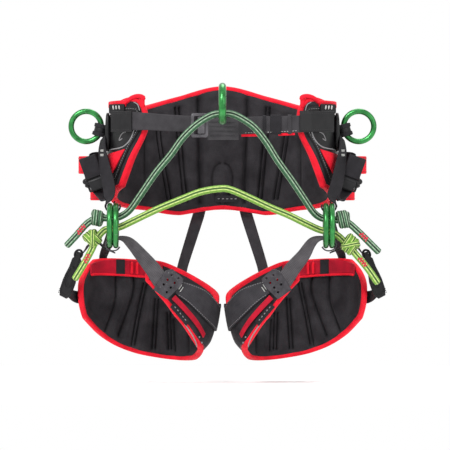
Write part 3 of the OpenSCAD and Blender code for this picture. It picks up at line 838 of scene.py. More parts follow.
def hip_reach(v):
    """How far round the belt goes at a height: its front ends slope."""
    low = lerp(5.45, 7, v / 0.66)
    return np.where(v < 0.66, low, 7 - 0.5 * (np.maximum(0, v - 0.8) / 0.2) ** 2)


def hip_point(t, v, off):
    t, v, off = np.broadcast_arrays(np.asarray(t, float), v, off)
    z = lerp(level(HIP_BOTTOM, t), level(HIP_TOP, t), v)
    ground = np.concatenate([hip_xy(t), z[..., None]], -1)
    return ground + off[..., None] * hip_normal(t)


def at_height(t, z, off, side=1):
    """Points of the belt at places round it and at heights in front view."""
    low, high = level(HIP_BOTTOM, t), level(HIP_TOP, t)
    return hip_point(t * side, (z - low) / (high - low), off)


def on_wing(side, points, off):
    """Points given as (x, z) in front view, laid on the belt's front wing."""
    t = np.linspace(3.4, 7.2, 400)
    x = hip_xy(t)[:, 0]
    far = int(np.argmax(x))
    p = np.asarray(points, float)
    return at_height(np.interp(-np.abs(p[:, 0]), -x[far:], t[far:]), p[:, 1], off, side)


def on_back(points, off):
    """Points given as (x, z) in front view, laid on the back of the belt."""
    t = np.linspace(-3.6, 3.6, 400)
    p = np.asarray(points, float)
    return at_height(np.interp(p[:, 0], hip_xy(t)[:, 0], t), p[:, 1], off)


def line_distance(x, z, line):
    """Distance in front view from each place to a line of points."""
    best = np.full(x.shape, 1e9)
    for (ax, az), (bx, bz) in zip(line, line[1:]):
        dx, dz = bx - ax, bz - az
        f = np.clip(((x - ax) * dx + (z - az) * dz) / (dx * dx + dz * dz), 0, 1)
        best = np.minimum(best, np.hypot(x - ax - f * dx, z - az - f * dz))
    return best


def quilting(x, z, channels, crown, spread):
    """How far the face stands out: swollen between its sewn channels, drawn in along them."""
    nearest = np.full(x.shape, 1e9)
    cut = np.zeros(x.shape)
    for line, depth, width in channels:
        d = line_distance(x, z, smooth(line, 5))
        nearest = np.minimum(nearest, d)
        cut = np.maximum(cut, depth * np.exp(-((d / width) ** 2)))
    return crown * (1 - np.exp(-((nearest / spread) ** 2))) - cut


def tapered(distance, thin, full, reach):
    f = np.clip(distance / reach, 0, 1)
    return lerp(thin, full, np.sqrt(f * (2 - f)))


def back_channels():
    """Sewn channels of the back pad in front view: (points, depth, width)."""
    half = [
        ([(40, 88), (39, 20), (37, -40), (36, -84)], 6.2, 3.6),
        ([(128, 40), (128, -70)], 5.0, 2.6),
        ([(3, -86), (14, -66), (17, -44), (12, -26), (4, -20)], 2.6, 2.0),
    ]
    for shift in (-3.2, 3.2):
        half.append(([(75 + shift, 70), (71 + shift, 20), (61 + shift, -82)], 5.0, 1.9))
        half.append(([(107 + shift, 52), (103 + shift, 10), (88 + shift, -78)], 5.0, 1.9))
    return [([(s * x, z) for x, z in line], *cut) for s in (-1, 1) for line, *cut in half]


def make_back_pad():
    rows, cols = 560, 118
    u = np.linspace(1, -1, rows + 1)[:, None]
    v = np.linspace(0, 1, cols + 1)[None, :]
    t = u * hip_reach(v)
    base = hip_point(t, v, 0)
    height = hip_height(t)
    edge = np.minimum(np.minimum(v, 1 - v) * height, (1 - np.abs(u)) * hip_reach(v) * 45)
    body = tapered(edge, 3.6, PAD_HALF, 14)
    inside = base[..., 1] > -60
    quilt = np.where(inside, quilting(base[..., 0], base[..., 2], back_channels(), 3.0, 10), 0)
    fade = np.clip(edge / 12, 0, 1)
    normal = hip_normal(t)
    front = base - (body + fade * quilt)[..., None] * normal
    back = base + np.minimum(body, PAD_HALF)[..., None] * normal
    obj = piece("back_pad_quilted", shell(front, back), "hip_belt", "spacer", "back_pad")


def hip_rim(off_in):
    """The rim of the belt as a closed line; off_in moves it in from the edge, in millimetres."""
    long = np.linspace(1, -1, 360)
    rise = np.linspace(1, 0, 90)[1:-1]
    u = np.concatenate([long, -np.ones_like(rise), -long, np.ones_like(rise)])
    v = np.concatenate([np.ones_like(long), rise, np.zeros_like(long), rise[::-1]])
    t = u * hip_reach(v)
    height = hip_height(t)
    inner_v = np.clip(v, off_in / height, 1 - off_in / height)
    reach = hip_reach(inner_v)
    inner_t = np.clip(t, -reach + off_in / 42, reach - off_in / 42)
    return inner_t, inner_v


def make_pad_binding():
    t, v = hip_rim(0)
    path = hip_point(t, v, 0)
    shape = edge_band(path, hip_normal(t), PAD_HALF - 0.2, BINDING_HALF)
    piece("pad_binding_tape", shape, "hip_belt", "binding", "pad_binding")
    t, v = hip_rim(2.6)
    for name, side in (("inner", -1), ("outer", 1)):
        line = hip_point(t, v, side * (PAD_HALF - 0.9))
        shape = stitches(line, 4.6, 3.0, 0.4)
        piece("pad_binding_stitches_" + name, shape, "hip_belt", "red_thread")


# Layers and panels stop this far short of the pad's end, counted in plan points
END_GAP = 0.28
BACK_WEB_OFF = PAD_HALF + 0.8
PATCH_OFF = PAD_HALF + 4.0
PATCH_T = 0.6
PATCH_V = (0.28, 0.7)


def belt_layer(t0, t1, v0, v1, off, thick, rows, cols, ripple=0.0):
    """Flat layer on the outside of the belt between two places and two heights."""
    f = np.linspace(0, 1, rows + 1)[:, None]
    v = np.linspace(v0, v1, cols + 1)[None, :] + 0 * f
    t = np.minimum(lerp(t0, t1, f) + 0 * v, hip_reach(v) - END_GAP)
    lift = ripple * np.sin(np.linspace(0, 9, rows + 1))[:, None] * np.sin(v * 3)
    return shell(hip_point(t, v, off + lift), hip_point(t, v, off + thick + lift))


def make_back_webbing():
    shape = belt_layer(-3.6, 3.6, 0.36, 0.62, BACK_WEB_OFF, WEB_THICK, 200, 12)
    piece("back_webbing_band", shape, "hip_belt", "grey_web", "back_webbing", 40, 0.8)
    for k, v in enumerate((0.385, 0.595)):
        t = np.linspace(-3.5, 3.5, 200)
        seam = stitches(hip_point(t, v, BACK_WEB_OFF + WEB_THICK))
        piece(f"back_webbing_stitches_{k}", seam, "hip_belt", "dark_thread")
    middle = belt_layer(-PATCH_T, PATCH_T, *PATCH_V, PATCH_OFF, 1.6, 40, 20)
    patch = piece("back_cover_patch", middle, "hip_belt", "leatherette", (), 40, 0.5)
    across = arc(hip_point(np.linspace(-PATCH_T, PATCH_T, 40), 0.5, PATCH_OFF))[-1]
    along = arc(hip_point(0.0, np.linspace(*PATCH_V, 20), PATCH_OFF))[-1]
    sheet(patch)


def make_centre_label():
    """Small label with a row of dashes, sewn low on the middle of the back pad."""
    x = np.linspace(-12, 26, 30)[:, None]
    z = np.linspace(-83, -72, 10)[None, :]
    grid = xyz(x, z).reshape(-1, 2)
    front = on_back(grid, -(PAD_HALF + 3.6)).reshape(30, 10, 3)
    back = on_back(grid, -(PAD_HALF + 2.2)).reshape(30, 10, 3)
    shape = shell(front, back)
    label = piece("centre_label", shape, "hip_belt", "black_web", (), 40, 0.3)
    sheet(label)
    marks = Shape()
    for left in (-8, -1, 6, 13, 20):
        line = on_back(resample([(left, -77.5), (left + 3.5, -77.5)], 0.7), -(PAD_HALF + 3.9))
        marks.add(tube(line, 0.7, 8, (0, 0.2, 1), 0.7))
    piece("centre_label_dashes", marks, "hip_belt", "grey_thread")


PANEL_TOP = PAD_HALF + 3.0


def panel_end(v):
    return np.minimum(6.7, hip_reach(v) - END_GAP)


def make_side_panel(name, side):
    """Leatherette over the belt's front end, stitched round its free edges."""
    f = np.linspace(0, 1, 91)[:, None]
    v = np.linspace(0.07, 0.92, 61)[None, :] + 0 * f
    t = side * lerp(3.9, panel_end(v), f)
    outer = hip_point(t, v, PANEL_TOP)
    shape = shell(hip_point(t, v, PAD_HALF + 0.8), outer)
    node = name + "_side_panel"
    obj = piece(node + "_cover", shape, "hip_belt", "leatherette", node, 40, 0.6)
    sheet(obj)
    v = np.linspace(0.1, 0.89, 60)
    edge = side * (panel_end(v) - 0.1)
    low = hip_point(np.linspace(side * 4.0, edge[0], 60), v[0], PANEL_TOP)
    high = hip_point(np.linspace(edge[-1], side * 4.0, 60), v[-1], PANEL_TOP)
    rim = np.concatenate([low, hip_point(edge, v, PANEL_TOP)[1:], high[1:]])
    piece(node + "_stitches", stitches(rim), "hip_belt", "grey_thread")


def make_wing_trim(name, side):
    """Piping, the red corner pad, the red mesh gusset and small loops on the front wing."""
    top = PAD_HALF + 3.3
    piping = [(183, -7), (170, -1), (150, 4), (140, 16), (135, 32)]
    line = on_wing(side, resample(smooth(piping, 10), 2), top)
    piece(name + "_piping", tube(line, 1.0, 10, (0, -1, 0), 1.5), "hip_belt", "grey_thread")
    cords = (
        [(170, 44), (174, 22)],
        [(146, 27), (152, 24), (156, 14), (151, 17)],
        [(136, 74), (130, 70), (127, 60)],
    )
    for k, points in enumerate(cords):
        line = on_wing(side, resample(smooth(points, 8), 1.5), top)
        shape = tube(line, 0.8, 8, (0, -1, 0), 1.0)
        piece(f"{name}_wing_cord_{k}", shape, "hip_belt", "grey_thread")
    gusset(name, side)
    corner_pad(name, side)


def gusset(name, side):
    """Red mesh panel: four sided, narrowing downwards."""
    rows, cols = 24, 24
    f = np.linspace(0, 1, rows + 1)[:, None, None]
    g = np.linspace(0, 1, cols + 1)[None, :, None]
    top = lerp(np.array([180.0, -10]), np.array([147.0, 0]), g)
    low = lerp(np.array([173.0, -40]), np.array([166.0, -38]), g)
    flat = lerp(top, low, f).reshape(-1, 2)
    bulge = (4 * f * (1 - f) * 4 * g * (1 - g)).reshape(-1) * 1.6
    grids = [
        on_wing(side, flat, PAD_HALF + 3.2 + k + b).reshape(rows + 1, cols + 1, 3)
        for k, b in ((0, 0), (1.6, bulge))
    ]
    node = name + "_accent_panel"
    obj = piece(name + "_gusset", shell(*grids), "hip_belt", "binding", node, 40)
    sheet(obj)


def corner_pad(name, side):
    """Red tape folded over the belt's top edge, then arched over its front corner."""
    fold = on_wing(side, resample([(173, 71), (160, 71.5), (148, 72)], 1.6), 6.5)
    shape = sweep_strap(fold, (0, 0, 1), 11.5, 4.6)
    arch = [(151, 71), (146, 76), (140, 81), (132, 83.5), (124, 82), (118, 76), (116, 64)]
    line = on_wing(side, resample(smooth(arch, 10), 1.6), 5.5)
    shape.add(tube(line, 3.6, 18, (0, -1, 0), 3.0))
    piece(name + "_corner_tape", shape, "hip_belt", "binding")
    seam = on_wing(side, resample([(172, 68), (160, 68.5), (150, 69)], 1.6), 9.0)
    piece(name + "_corner_stitches", stitches(seam, 4.0, 2.6, 0.4), "hip_belt", "red_thread")


def make_slot_plate(name, side):
    dress(name + "_slot_plate", "plastic", 0.5)
    shape = Shape()
    for x in (-7, 0, 7):
        bar = resample([(x - 0.7, 5.2, 1.6), (x + 0.7, -1.2, 1.6)], 1)
        shape.add(tube(bar, 1.25, 10, (1, 0, 0), 1.0))
    turned = turn_z(-47) @ np.array([[1, 0, 0], [0, 0, -1], [0, 1, 0]])
    shape = shape.moved(turned, (-167, -84, 64)).on_side(side)
    piece(name + "_slot_tabs", shape, "hip_belt", "pale_thread")


# ---- Rings and hip webbing ----

LOWER_X = {"left": -173, "right": 168}
LOWER_Y = -105
LOOP_X = 11.5
LOOP_Z = 9.5
RING_TOP_Z = -90.7
RING_LOW_Z = -151.3


def loop_stops(x, z, start, span, steps, width):
    q = np.radians(start + span * np.arange(steps + 1) / steps)
    return [((x + LOOP_X * math.cos(a), LOWER_Y, z + LOOP_Z * math.sin(a)), (0, 1, 0), width) for a in q]


def make_rings():
    for name in SIDES:
        for ring in ("_side_ring", "_lower_ring_outer", "_lower_ring_inner"):
            dress(name + ring, "green")
        dress(name + "_ring_keeper", "plastic", 0.8)
    dress("bridge_ring", "green")


WRAP_R = 11.4


def make_keeper_wraps(name, side):
    """Webbing folded round the keeper."""
    shape = Shape()
    q = np.radians(np.linspace(-150, 150, 60))
    for z in (-6.6, 6.6):
        path = xyz(WRAP_R * np.cos(q + math.pi), WRAP_R * np.sin(q + math.pi), z)
        shape.add(sweep_strap(path, (0, 0, 1), 6.0, 1.4))
    placed = shape.moved(turn_y(15)).points + turn_y(15) @ np.array([24, 0, 0]) + (-217, -36, 37)
    shape.points = placed
    piece(name + "_keeper_wraps", shape.on_side(side), "hip_belt", "black_web")


def make_ring_flap(name, side):
    """Rounded leatherette boss on the belt behind the ring's keeper."""
    rise = np.linspace(0, 1, 40)
    z = lerp(-2, 58, rise)
    swell = np.sqrt(np.clip(4 * rise * (1 - rise), 0.02, 1))
    path = xyz(-182.4, -44 - 5 * rise, z)
    shape = sweep_strap(path, (0, 1, 0), 10 + 22 * swell, 3 + 5 * swell)
    piece(name + "_ring_flap", shape.on_side(side), "hip_belt", "leatherette")


def make_hip_webbing(name, side):
    x = LOWER_X[name]
    stops = [
        ((side * 190, -50, 18), (0.3 * side, 1, 0), 21),
        ((side * 191, -60, -2), (0.5 * side, 1, 0), 25),
        ((side * 186, -74, -32), (0.75 * side, 1, 0.1), 26),
        ((side * 180, -88, -58), (0.9 * side, 1, 0.2), 25),
        ((x + side * 5, -101, -76), (0.8 * side, 1, 0), 21),
    ]
    stops += loop_stops(x, RING_TOP_Z, 160 if side < 0 else 20, -side * 220, 8, 16)
    shape = strap(stops, WEB_THICK, 8)
    node = name + "_hip_webbing"
    piece(node + "_strap", shape, "hip_belt", "black_web", node)
    tack = Shape()
    for z, y in ((-2, -62), (-9, -65)):
        tack.add(bartack((side * 191.5, y, z), (0, -0.3, 1), (0.42 * side, 0.9, 0), (2.4, 14), 3))
    piece(name + "_hip_bartacks", tack, "hip_belt", "pale_thread")


# ---- Hip adjusters and gear loops ----

ADJ_AT = (-200, -52, -54)
ADJ_TILT = -20


def cushion_block(size, at):
    """Upright ply of webbing with rounded long edges: width, thickness, height."""
    width, thick, height = size
    rise = np.linspace(-height / 2, height / 2, 14)
    path = xyz(0, 0, rise) + np.asarray(at, float)
    return sweep_strap(path, (1, 0, 0), width, thick)


def make_adjuster(name, side):
    plies = Shape()
    for y in (-4, 0, 4):
        plies.add(cushion_block((28, 3.5, 32), (0, y, 27)))
    q = np.radians(np.linspace(0, 180, 24))
    fold = xyz(0, -4.0 * np.cos(q), 41.5 + 2.4 * np.sin(q))
    plies.add(sweep_strap(fold, (1, 0, 0), 28, 3.2))
    plies.add(cushion_block((20, 1.9, 24), (0, 5.4, 2)))
    plies = plies.moved(turn_y(ADJ_TILT), ADJ_AT)
    from_belt = [
        ((-181, -24, -20), (0, 0.3, 1), 20),
        ((-194, -32, -14), (0, 0.2, 1), 20),
        ((-206, -42, -14), (0.3, 0, 1), 20),
        ((-212, -47, -16), (0.6, 0, 1), 20),
    ]
    to_rings = [
        ((-197, -46.8, -64), (1, 0, 0.3), 20),
        ((-195, -52, -69), (1, 0.2, 0), 20),
        ((-191, -66, -76), (0.8, 0.6, 0), 18),
        ((-188, -84, -80), (0.3, 1, 0), 15),
        ((-183, -94, -77), (0, 1, 0.2), 13),
    ]
    shape = plies.add(strap(from_belt, 2.2)).add(strap(to_rings, 2.2)).on_side(side)
    node = name + "_adjuster_webbing"
    piece(name + "_adjuster_straps", shape, "hip_belt", "black_web", node)
    dress(name + "_adjuster_frame", "plastic", 0.6)
    dress(name + "_adjuster_lever", "plastic", 0.6)


def make_gear_loops(name, side):
    upper = [(-181, -6), (-205, -16), (-227, -2), (-226, 26), (-206, 48), (-182, 54), (-158, 46)]
    lower = [(-180, -4), (-197, -12), (-210, 4), (-204, 28), (-184, 46), (-160, 43)]
    bands, seams = Shape(), Shape()
    for points, z, height in ((upper, -24, 28), (lower, -72, 17)):
        path = smooth([(x, y, z) for x, y in points], 14)
        bands.add(sweep_strap(path, (0, 0, 1), height, 3))
        normal = np.cross(tangents(path), (0, 0, 1))
        for dz in (height / 2 - 3, 3 - height / 2):
            seams.add(stitches(path - 1.7 * normal + (0, 0, dz)))
            seams.add(stitches(path + 1.7 * normal + (0, 0, dz)))
    node = name + "_gear_loops"
    piece(name + "_gear_loop_bands", bands.on_side(side), "hip_belt", "binding", node)
    piece(name + "_gear_loop_seams", seams.on_side(side), "hip_belt", "dark_thread")


def make_loop_stud(name, side):
    """Moulded stud that holds the two gear loops apart in front."""
    post = tube(resample([(-214, -21, -61), (-214, -21, -41)], 1.5), 5.5, 20, (0, -1, 0), 3.0)
    post.add(tube(resample([(-214, -24, -51), (-220, -34, -51)], 1.0), 4.6, 18, (0, 0, 1), 2.0))
    piece(name + "_gear_loop_stud", post.on_side(side), "hip_belt", "plastic")


# ---- Waist strap and buckle ----


def make_waist():
    left = [
        (-162, -97, 45, 30),
        (-140, -112, 44, 29),
        (-118, -121, 43, 27),
        (-90, -125, 41, 26),
        (-46.5, -127, 39, 25),
    ]
    right = [
        (162, -97, 42, 28),
        (140, -112, 41, 28),
        (118, -121, 39, 27),
        (80, -125, 38, 27),
        (22, -127, 36, 27),
    ]
    for name, stops in (("left", left), ("right", right)):
        shape = strap([((x, y, z), (0, 0, 1), width) for x, y, z, width in stops], WEB_THICK, 16)
        node = name + "_waist_strap"
        piece(node + "_webbing", shape, "hip_belt", "grey_web", node)
    seam = [(130, -117.5, 29.5), (110, -124.2, 28), (80, -127.2, 26.5), (34, -129, 25)]
    piece("right_waist_seam", stitches(smooth(seam, 12)), "hip_belt", "pale_thread")
    lining = Shape()
    spans = (
        [(30, -125.6, 21.6), (42, -125.4, 21.8), (55, -125.2, 22)],
        [(88, -123.6, 23), (102, -122.2, 23.6), (114, -120.2, 24.2)],
    )
    for span in spans:
        lining.add(sweep_strap(resample(smooth(span, 8), 2), (0, 0, 1), 5, 1.4))
    piece("right_waist_lining", lining, "hip_belt", "binding")
    for name, side in SIDES.items():
        make_strap_cover(name, side)
    for x, width, look in ((66, 5, "black_web"), (84, 17, "black_web"), (106, 6, "grey_web")):
        make_keeper_band(x, width, look)
    make_waist_patch()
    dress("waist_buckle_frame", "buckle", 0.9)
    dress("waist_buckle_bar", "buckle", 0.7)


COVER_Z = 43.5


def make_strap_cover(name, side):
    """Leatherette flap over the end of the waist strap, stitched along its edges."""
    inner = 143 if side < 0 else 122
    x = np.linspace(176, inner, 60)
    y = np.interp(-x, (-176, -162, -140, -118), (-84, -97, -112, -121)) - 3.2
    path = xyz(side * x, y, COVER_Z)
    shape = sweep_strap(path, (0, 0, 1), 33, 2.2)
    obj = piece(name + "_strap_cover", shape, "hip_belt", "leatherette")
    sheet(obj)
    seams = Shape()
    for z in (30.5, 56.5):
        seams.add(stitches(path[2:-2] + (side * 0.6, -0.9, z - COVER_Z), 4.0, 2.6, 0.35))
    piece(name + "_strap_cover_stitches", seams, "hip_belt", "dark_thread")


def make_keeper_band(x, width, look):
    """Elastic band round the right half of the waist strap."""
    q = np.linspace(0, 2 * math.pi, 48, endpoint=False)
    y = np.interp(x, (22, 80, 118, 140), (-127, -125, -121, -112))
    z = np.interp(x, (22, 80, 118, 140), (36, 38, 39, 41))
    path = xyz(x, y + 2.6 * squared(np.cos(q), 0.35), z + 14.8 * squared(np.sin(q), 0.35))
    shape = sweep_strap(path, (1, 0, 0), width, 1.2, closed=True)
    piece(f"waist_keeper_{x}", shape, "hip_belt", look)


def make_waist_patch():
    """Padded centre patch with rows of stitched ridges."""
    rows, cols = 70, 50
    x = np.linspace(-24.5, 24.5, rows + 1)[:, None]
    z = np.linspace(-17, 17, cols + 1)[None, :]
    edge = np.minimum(24.5 - np.abs(x), 17 - np.abs(z))
    round_off = np.sqrt(np.clip(edge / 3, 0, 1))
    ridges = 0.5 * np.cos(z / 34 * 2 * math.pi * 5) * np.clip(edge / 4, 0, 1)
    face = -(1.0 + 1.5 * round_off + ridges)
    grid = xyz(x + 1, face - 127, z + 31)
    back = xyz(x + 1, 1.0 + 1.5 * round_off - 127, z + 31)
    piece("waist_patch_ridged", shell(grid, back), "hip_belt", "patch_web", "waist_patch")
    seams = Shape()
    for z in (20.8, 27.6, 34.4, 41.2):
        line = [(-21, -129.5, z), (23, -129.5, z)]
        seams.add(stitches(resample(line, 2), 3.4, 2.2, 0.35))
    piece("waist_patch_seams", seams, "hip_belt", "dark_thread")


# ---- Leg loops, drawn for the -X leg ----

LEG_X, LEG_RX, LEG_RY = -118, 109, 85
LEG_HALF = 5
LEG_ANGLES = [80, 100, 118, 135, 152, 170, 190, 210, 230, 250, 265, 278, 292, 312, 335, 350, 362]
LEG_TOP = [
    -196, -188, -181, -178, -178, -180, -183, -198, -214, -227, -235, -246, -244, -230, -214,
    -205, -197,
]
LEG_BOTTOM = [
    -240, -258, -275, -295, -312, -324, -331, -334, -334, -332, -327, -321, -315, -301, -262,
    -228, -205,
]
INSET_Z = [-340, -327, -307, -283, -253, -226]
INSET = [34, 30, 15, 7, 2, 0]


def table_at(keys, values, x):
    keys = np.asarray(keys, float)
    q = np.clip(x, keys[0], keys[-1])
    i = np.clip(np.searchsorted(keys, q, side="right") - 1, 0, len(keys) - 2)
    return curve(values, i + (q - keys[i]) / (keys[i + 1] - keys[i]))


def leg_xyz(a, z):
    a, z = np.broadcast_arrays(np.asarray(a, float), z)
    s, c = np.sin(np.radians(a)), np.cos(np.radians(a))
    rx = LEG_RX - table_at(INSET_Z, INSET, z) * np.maximum(0, -s)
    return xyz(LEG_X - rx * s, -LEG_RY * c, z)


def leg_normal(a):
    s, c = np.sin(np.radians(a)), np.cos(np.radians(a))
    return unit(xyz(-s / LEG_RX, -c / LEG_RY, 0))


def leg_height(a):
    return table_at(LEG_ANGLES, LEG_TOP, a) - table_at(LEG_ANGLES, LEG_BOTTOM, a)


def leg_start(v):
    """Angle at which the pad ends on the outer side of the leg: the end is rounded."""
    return 92 + 34 * (np.abs(v - 0.42) / 0.58) ** 2


def leg_point(a, v, off):
    a, v, off = np.broadcast_arrays(np.asarray(a, float), v, off)
    z = lerp(table_at(LEG_ANGLES, LEG_BOTTOM, a), table_at(LEG_ANGLES, LEG_TOP, a), v)
    return leg_xyz(a, z) + off[..., None] * leg_normal(a)


def on_leg_front(points, off):
    """Points given as (x, z) in front view, laid on the outside of the leg's front part."""
    p = np.asarray(points, float)
    a = 360 - np.degrees(np.arcsin(np.clip((p[:, 0] - LEG_X) / LEG_RX, -0.97, 0.97)))
    return leg_xyz(a, p[:, 1]) + np.asarray(off)[..., None] * leg_normal(a)


def leg_channels():
    """Sewn channels of the leg pad in front view: (points, depth, width)."""
    lines = [
        ([(-174, -203), (-174, -242), (-191, -290)], 4.2, 2.4),
        ([(-145, -203), (-145, -232), (-169, -298)], 4.2, 2.4),
    ]
    for shift in (-2.6, 2.6):
        lines += [
            ([(-125 + shift, -214), (-137 + shift, -270), (-145 + shift, -314)], 4.4, 1.9),
            ([(-106 + shift, -240), (-111 + shift, -320)], 4.4, 1.9),
            ([(-86 + shift, -262), (-84 + shift, -320)], 4.4, 1.9),
        ]
    lines += [
        ([(-78, -273), (-75, -323)], 4.0, 1.9),
        ([(-53, -298), (-52, -325)], 4.0, 1.9),
    ]
    return lines


def make_leg_pad(name, side):
    rows, cols = 420, 100
    f = np.linspace(0, 1, rows + 1)[:, None]
    v = np.linspace(0, 1, cols + 1)[None, :]
    a = lerp(360, leg_start(v), f)
    base = leg_point(a, v, 0)
    height = leg_height(a)
    edge = np.minimum(np.minimum(v, 1 - v) * height, np.minimum(f, 1 - f) * 520 + 1)
    body = tapered(edge, 3.0, LEG_HALF, 12)
    behind = base[..., 1] > -20
    quilt = np.where(behind, quilting(base[..., 0], base[..., 2], leg_channels(), 2.6, 9), 0)
    fade = np.clip(edge / 12, 0, 1)
    normal = leg_normal(a)
    inner = base - (body + fade * quilt)[..., None] * normal
    outer = base + body[..., None] * normal
    shape = shell(outer, inner).on_side(side)
    node = name + "_leg_pad"
    obj = piece(node + "_quilted", shape, name + "_leg", "spacer", node)


def leg_rim(off_in):
    long = np.linspace(0, 1, 300)
    rise = np.linspace(1, 0, 70)[1:-1]
    top = xyz(lerp(360, leg_start(1.0), long), 1)
    end = xyz(leg_start(rise), rise)
    low = xyz(lerp(leg_start(0.0), 360, long), 0)
    rim = np.concatenate([top, end, low])
    a, v = rim[:, 0], rim[:, 1]
    height = leg_height(a)
    share = np.minimum(off_in / np.maximum(height, 1), 0.45)
    v = np.clip(v, share, 1 - share)
    a = np.clip(a, leg_start(v) + off_in / 1.7, 360 - off_in / 1.7)
    return a, v


def make_leg_binding(name, side):
    a, v = leg_rim(0)
    path = leg_point(a, v, 0)
    keep = np.concatenate([[True], np.linalg.norm(np.diff(path, axis=0), axis=1) > 0.05])
    shape = edge_band(path[keep], leg_normal(a)[keep], LEG_HALF - 0.2, BINDING_HALF)
    node = name + "_leg_binding"
    piece(node + "_tape", shape.on_side(side), name + "_leg", "binding", node)
    a, v = leg_rim(2.6)
    seams = Shape()
    for face in (-1, 1):
        seams.add(stitches(leg_point(a, v, face * (LEG_HALF - 0.9)), 4.6, 3.0, 0.4))
    piece(node + "_stitches", seams.on_side(side), name + "_leg", "red_thread")


def inner_tuck(a, depth):
    """How far a layer is drawn in on the inner side, where the two legs come close."""
    return depth * np.exp(-(((a - 270) / 10) ** 2))


def leg_layer(a0, a1, lows, highs, off, thick, rows, cols=14, tuck=0.0):
    f = np.linspace(0, 1, rows + 1)
    low, high = curve(lows, f * (len(lows) - 1)), curve(highs, f * (len(highs) - 1))
    v = lerp(low[:, None], high[:, None], np.linspace(0, 1, cols + 1)[None, :])
    a = lerp(a0, a1, f)[:, None] + 0 * v
    off = off - inner_tuck(a, tuck)
    return shell(leg_point(a, v, off + thick), leg_point(a, v, off))


# The hem's ends as angles round the leg, and its lower edge as shares of the pad's height
HEM_SPAN = (192, 112)
HEM_LOW = [0.84, 0.84, 0.82, 0.8]


def make_leg_hem(name, side):
    """Folded red hem inside the back's top edge, with a dark tab and two keeper loops."""
    body = name + "_leg"
    off = -LEG_HALF - 4.6
    shape = leg_layer(*HEM_SPAN, HEM_LOW, [1.0, 1.01, 1.01, 1.0], off, 2.6, 120).on_side(side)
    node = name + "_leg_hem"
    hem = piece(node + "_tape", shape, body, "hem", node, 40, 0.6)
    f = np.linspace(0, 1, 90)
    across = arc(leg_point(lerp(*HEM_SPAN, f), 0.91, off))[-1]
    along = arc(leg_point(150.0, np.linspace(0.83, 1.01, 20), off))[-1]
    sheet(hem)
    low = leg_point(lerp(*HEM_SPAN, f), curve(HEM_LOW, f * 3), off)
    piping = tube(low, 2.0, 10, (0, -1, 0), 2.0).on_side(side)
    piece(name + "_hem_piping", piping, body, "binding")
    tab = leg_layer(157, 148, [0.81, 0.81], [1.02, 1.02], off - 1.0, 1.2, 12)
    piece(name + "_hem_tab", tab.on_side(side), body, "black_web", (), 40, 0.3)
    loops = Shape()
    for a in (163.5, 168.5):
        v = np.linspace(0.86, 1.0, 12)
        lift = off - 1.6 - 1.2 * np.sin(np.linspace(0, math.pi, 12))
        loops.add(tube(leg_point(a + 0 * v, v, lift), 2.3, 12, (1, 0, 0), 2.0))
    piece(name + "_hem_loops", loops.on_side(side), body, "binding")


LEG_WEB_SPAN = (338, 214)


def make_leg_webbing(name, side):
    body = name + "_leg"
    lows, highs = [0.62, 0.5, 0.42, 0.4, 0.45], [1.12, 1.12, 0.93, 0.8, 0.7]
    off = LEG_HALF + 2.2
    shape = leg_layer(*LEG_WEB_SPAN, lows, highs, off, WEB_THICK, 160, tuck=1.5)
    node = name + "_leg_webbing"
    piece(node + "_band", shape.on_side(side), body, "riser_web", node, 40, 0.8)
    seams = Shape()
    f = np.linspace(0.02, 0.98, 120)
    for rim, shift in ((lows, 0.03), (highs, -0.03)):
        v = curve(rim, f * (len(rim) - 1)) + shift
        a = lerp(*LEG_WEB_SPAN, f)
        seams.add(stitches(leg_point(a, v, off + WEB_THICK - inner_tuck(a, 1.5))))
    piece(node + "_seams", seams.on_side(side), body, "grey_thread")
    make_leg_front(name, side)


def front_band(points, off, width, thick):
    """Flat band laid along a line on the outside of the leg's front part."""
    line = on_leg_front(resample(smooth(points, 10), 2), off)
    away = unit((line - (LEG_X, 0, 0)) * (1, 1, 0))
    return sweep_strap(line, np.cross(tangents(line), away), width, thick)


def make_leg_front(name, side):
    """Red stripe, a label with a row of dashes, and a grey cord on the leg's front part."""
    body = name + "_leg"
    edge = [(-80, -234), (-62, -254), (-45, -274), (-29, -296)]
    stripe = front_band(edge, LEG_HALF + 4.6, 9, 1.8)
    piece(name + "_leg_stripe", stripe.on_side(side), body, "hem")
    label = front_band([(-81, -246), (-70, -259), (-56, -276)], LEG_HALF + 2.6, 12, 1.2)
    piece(name + "_leg_label", label.on_side(side), body, "black_web")
    marks = Shape()
    for f in np.linspace(0, 1, 5):
        x, z = lerp(-78, -62, f), lerp(-249, -269, f)
        line = on_leg_front(resample([(x, z), (x + 1.9, z - 2.4)], 0.6), LEG_HALF + 3.4)
        marks.add(tube(line, 0.7, 8, (0, -1, 0.2), 0.7))
    piece(name + "_leg_label_dashes", marks.on_side(side), body, "grey_thread")
    cord = resample(smooth([(-61, -277), (-46, -296), (-33, -314)], 10), 1.5)
    shape = tube(on_leg_front(cord, LEG_HALF + 1.2), 0.9, 8, (0, -1, 0.2), 1.5)
    for x, z in ((-35, -297), (-28, -306)):
        spot = on_leg_front(resample([(x, z), (x + 1.6, z - 2)], 0.6), LEG_HALF + 1.2)
        shape.add(tube(spot, 1.3, 10, (0, -1, 0.2), 1.0))
    piece(name + "_leg_cord", shape.on_side(side), body, "grey_thread")
    tack = Shape()
    for x, z in ((-68, -214), (-66, -218)):
        spot = on_leg_front(resample([(x, z), (x - 5, z - 8)], 1), LEG_HALF + 5.4)
        tack.add(tube(spot, 0.6, 8, (0, -1, 0.2), 0.8))
    piece(name + "_leg_bartack", tack.on_side(side), body, "pale_thread")
    dress(name + "_leg_plate", "steel", 0.5)


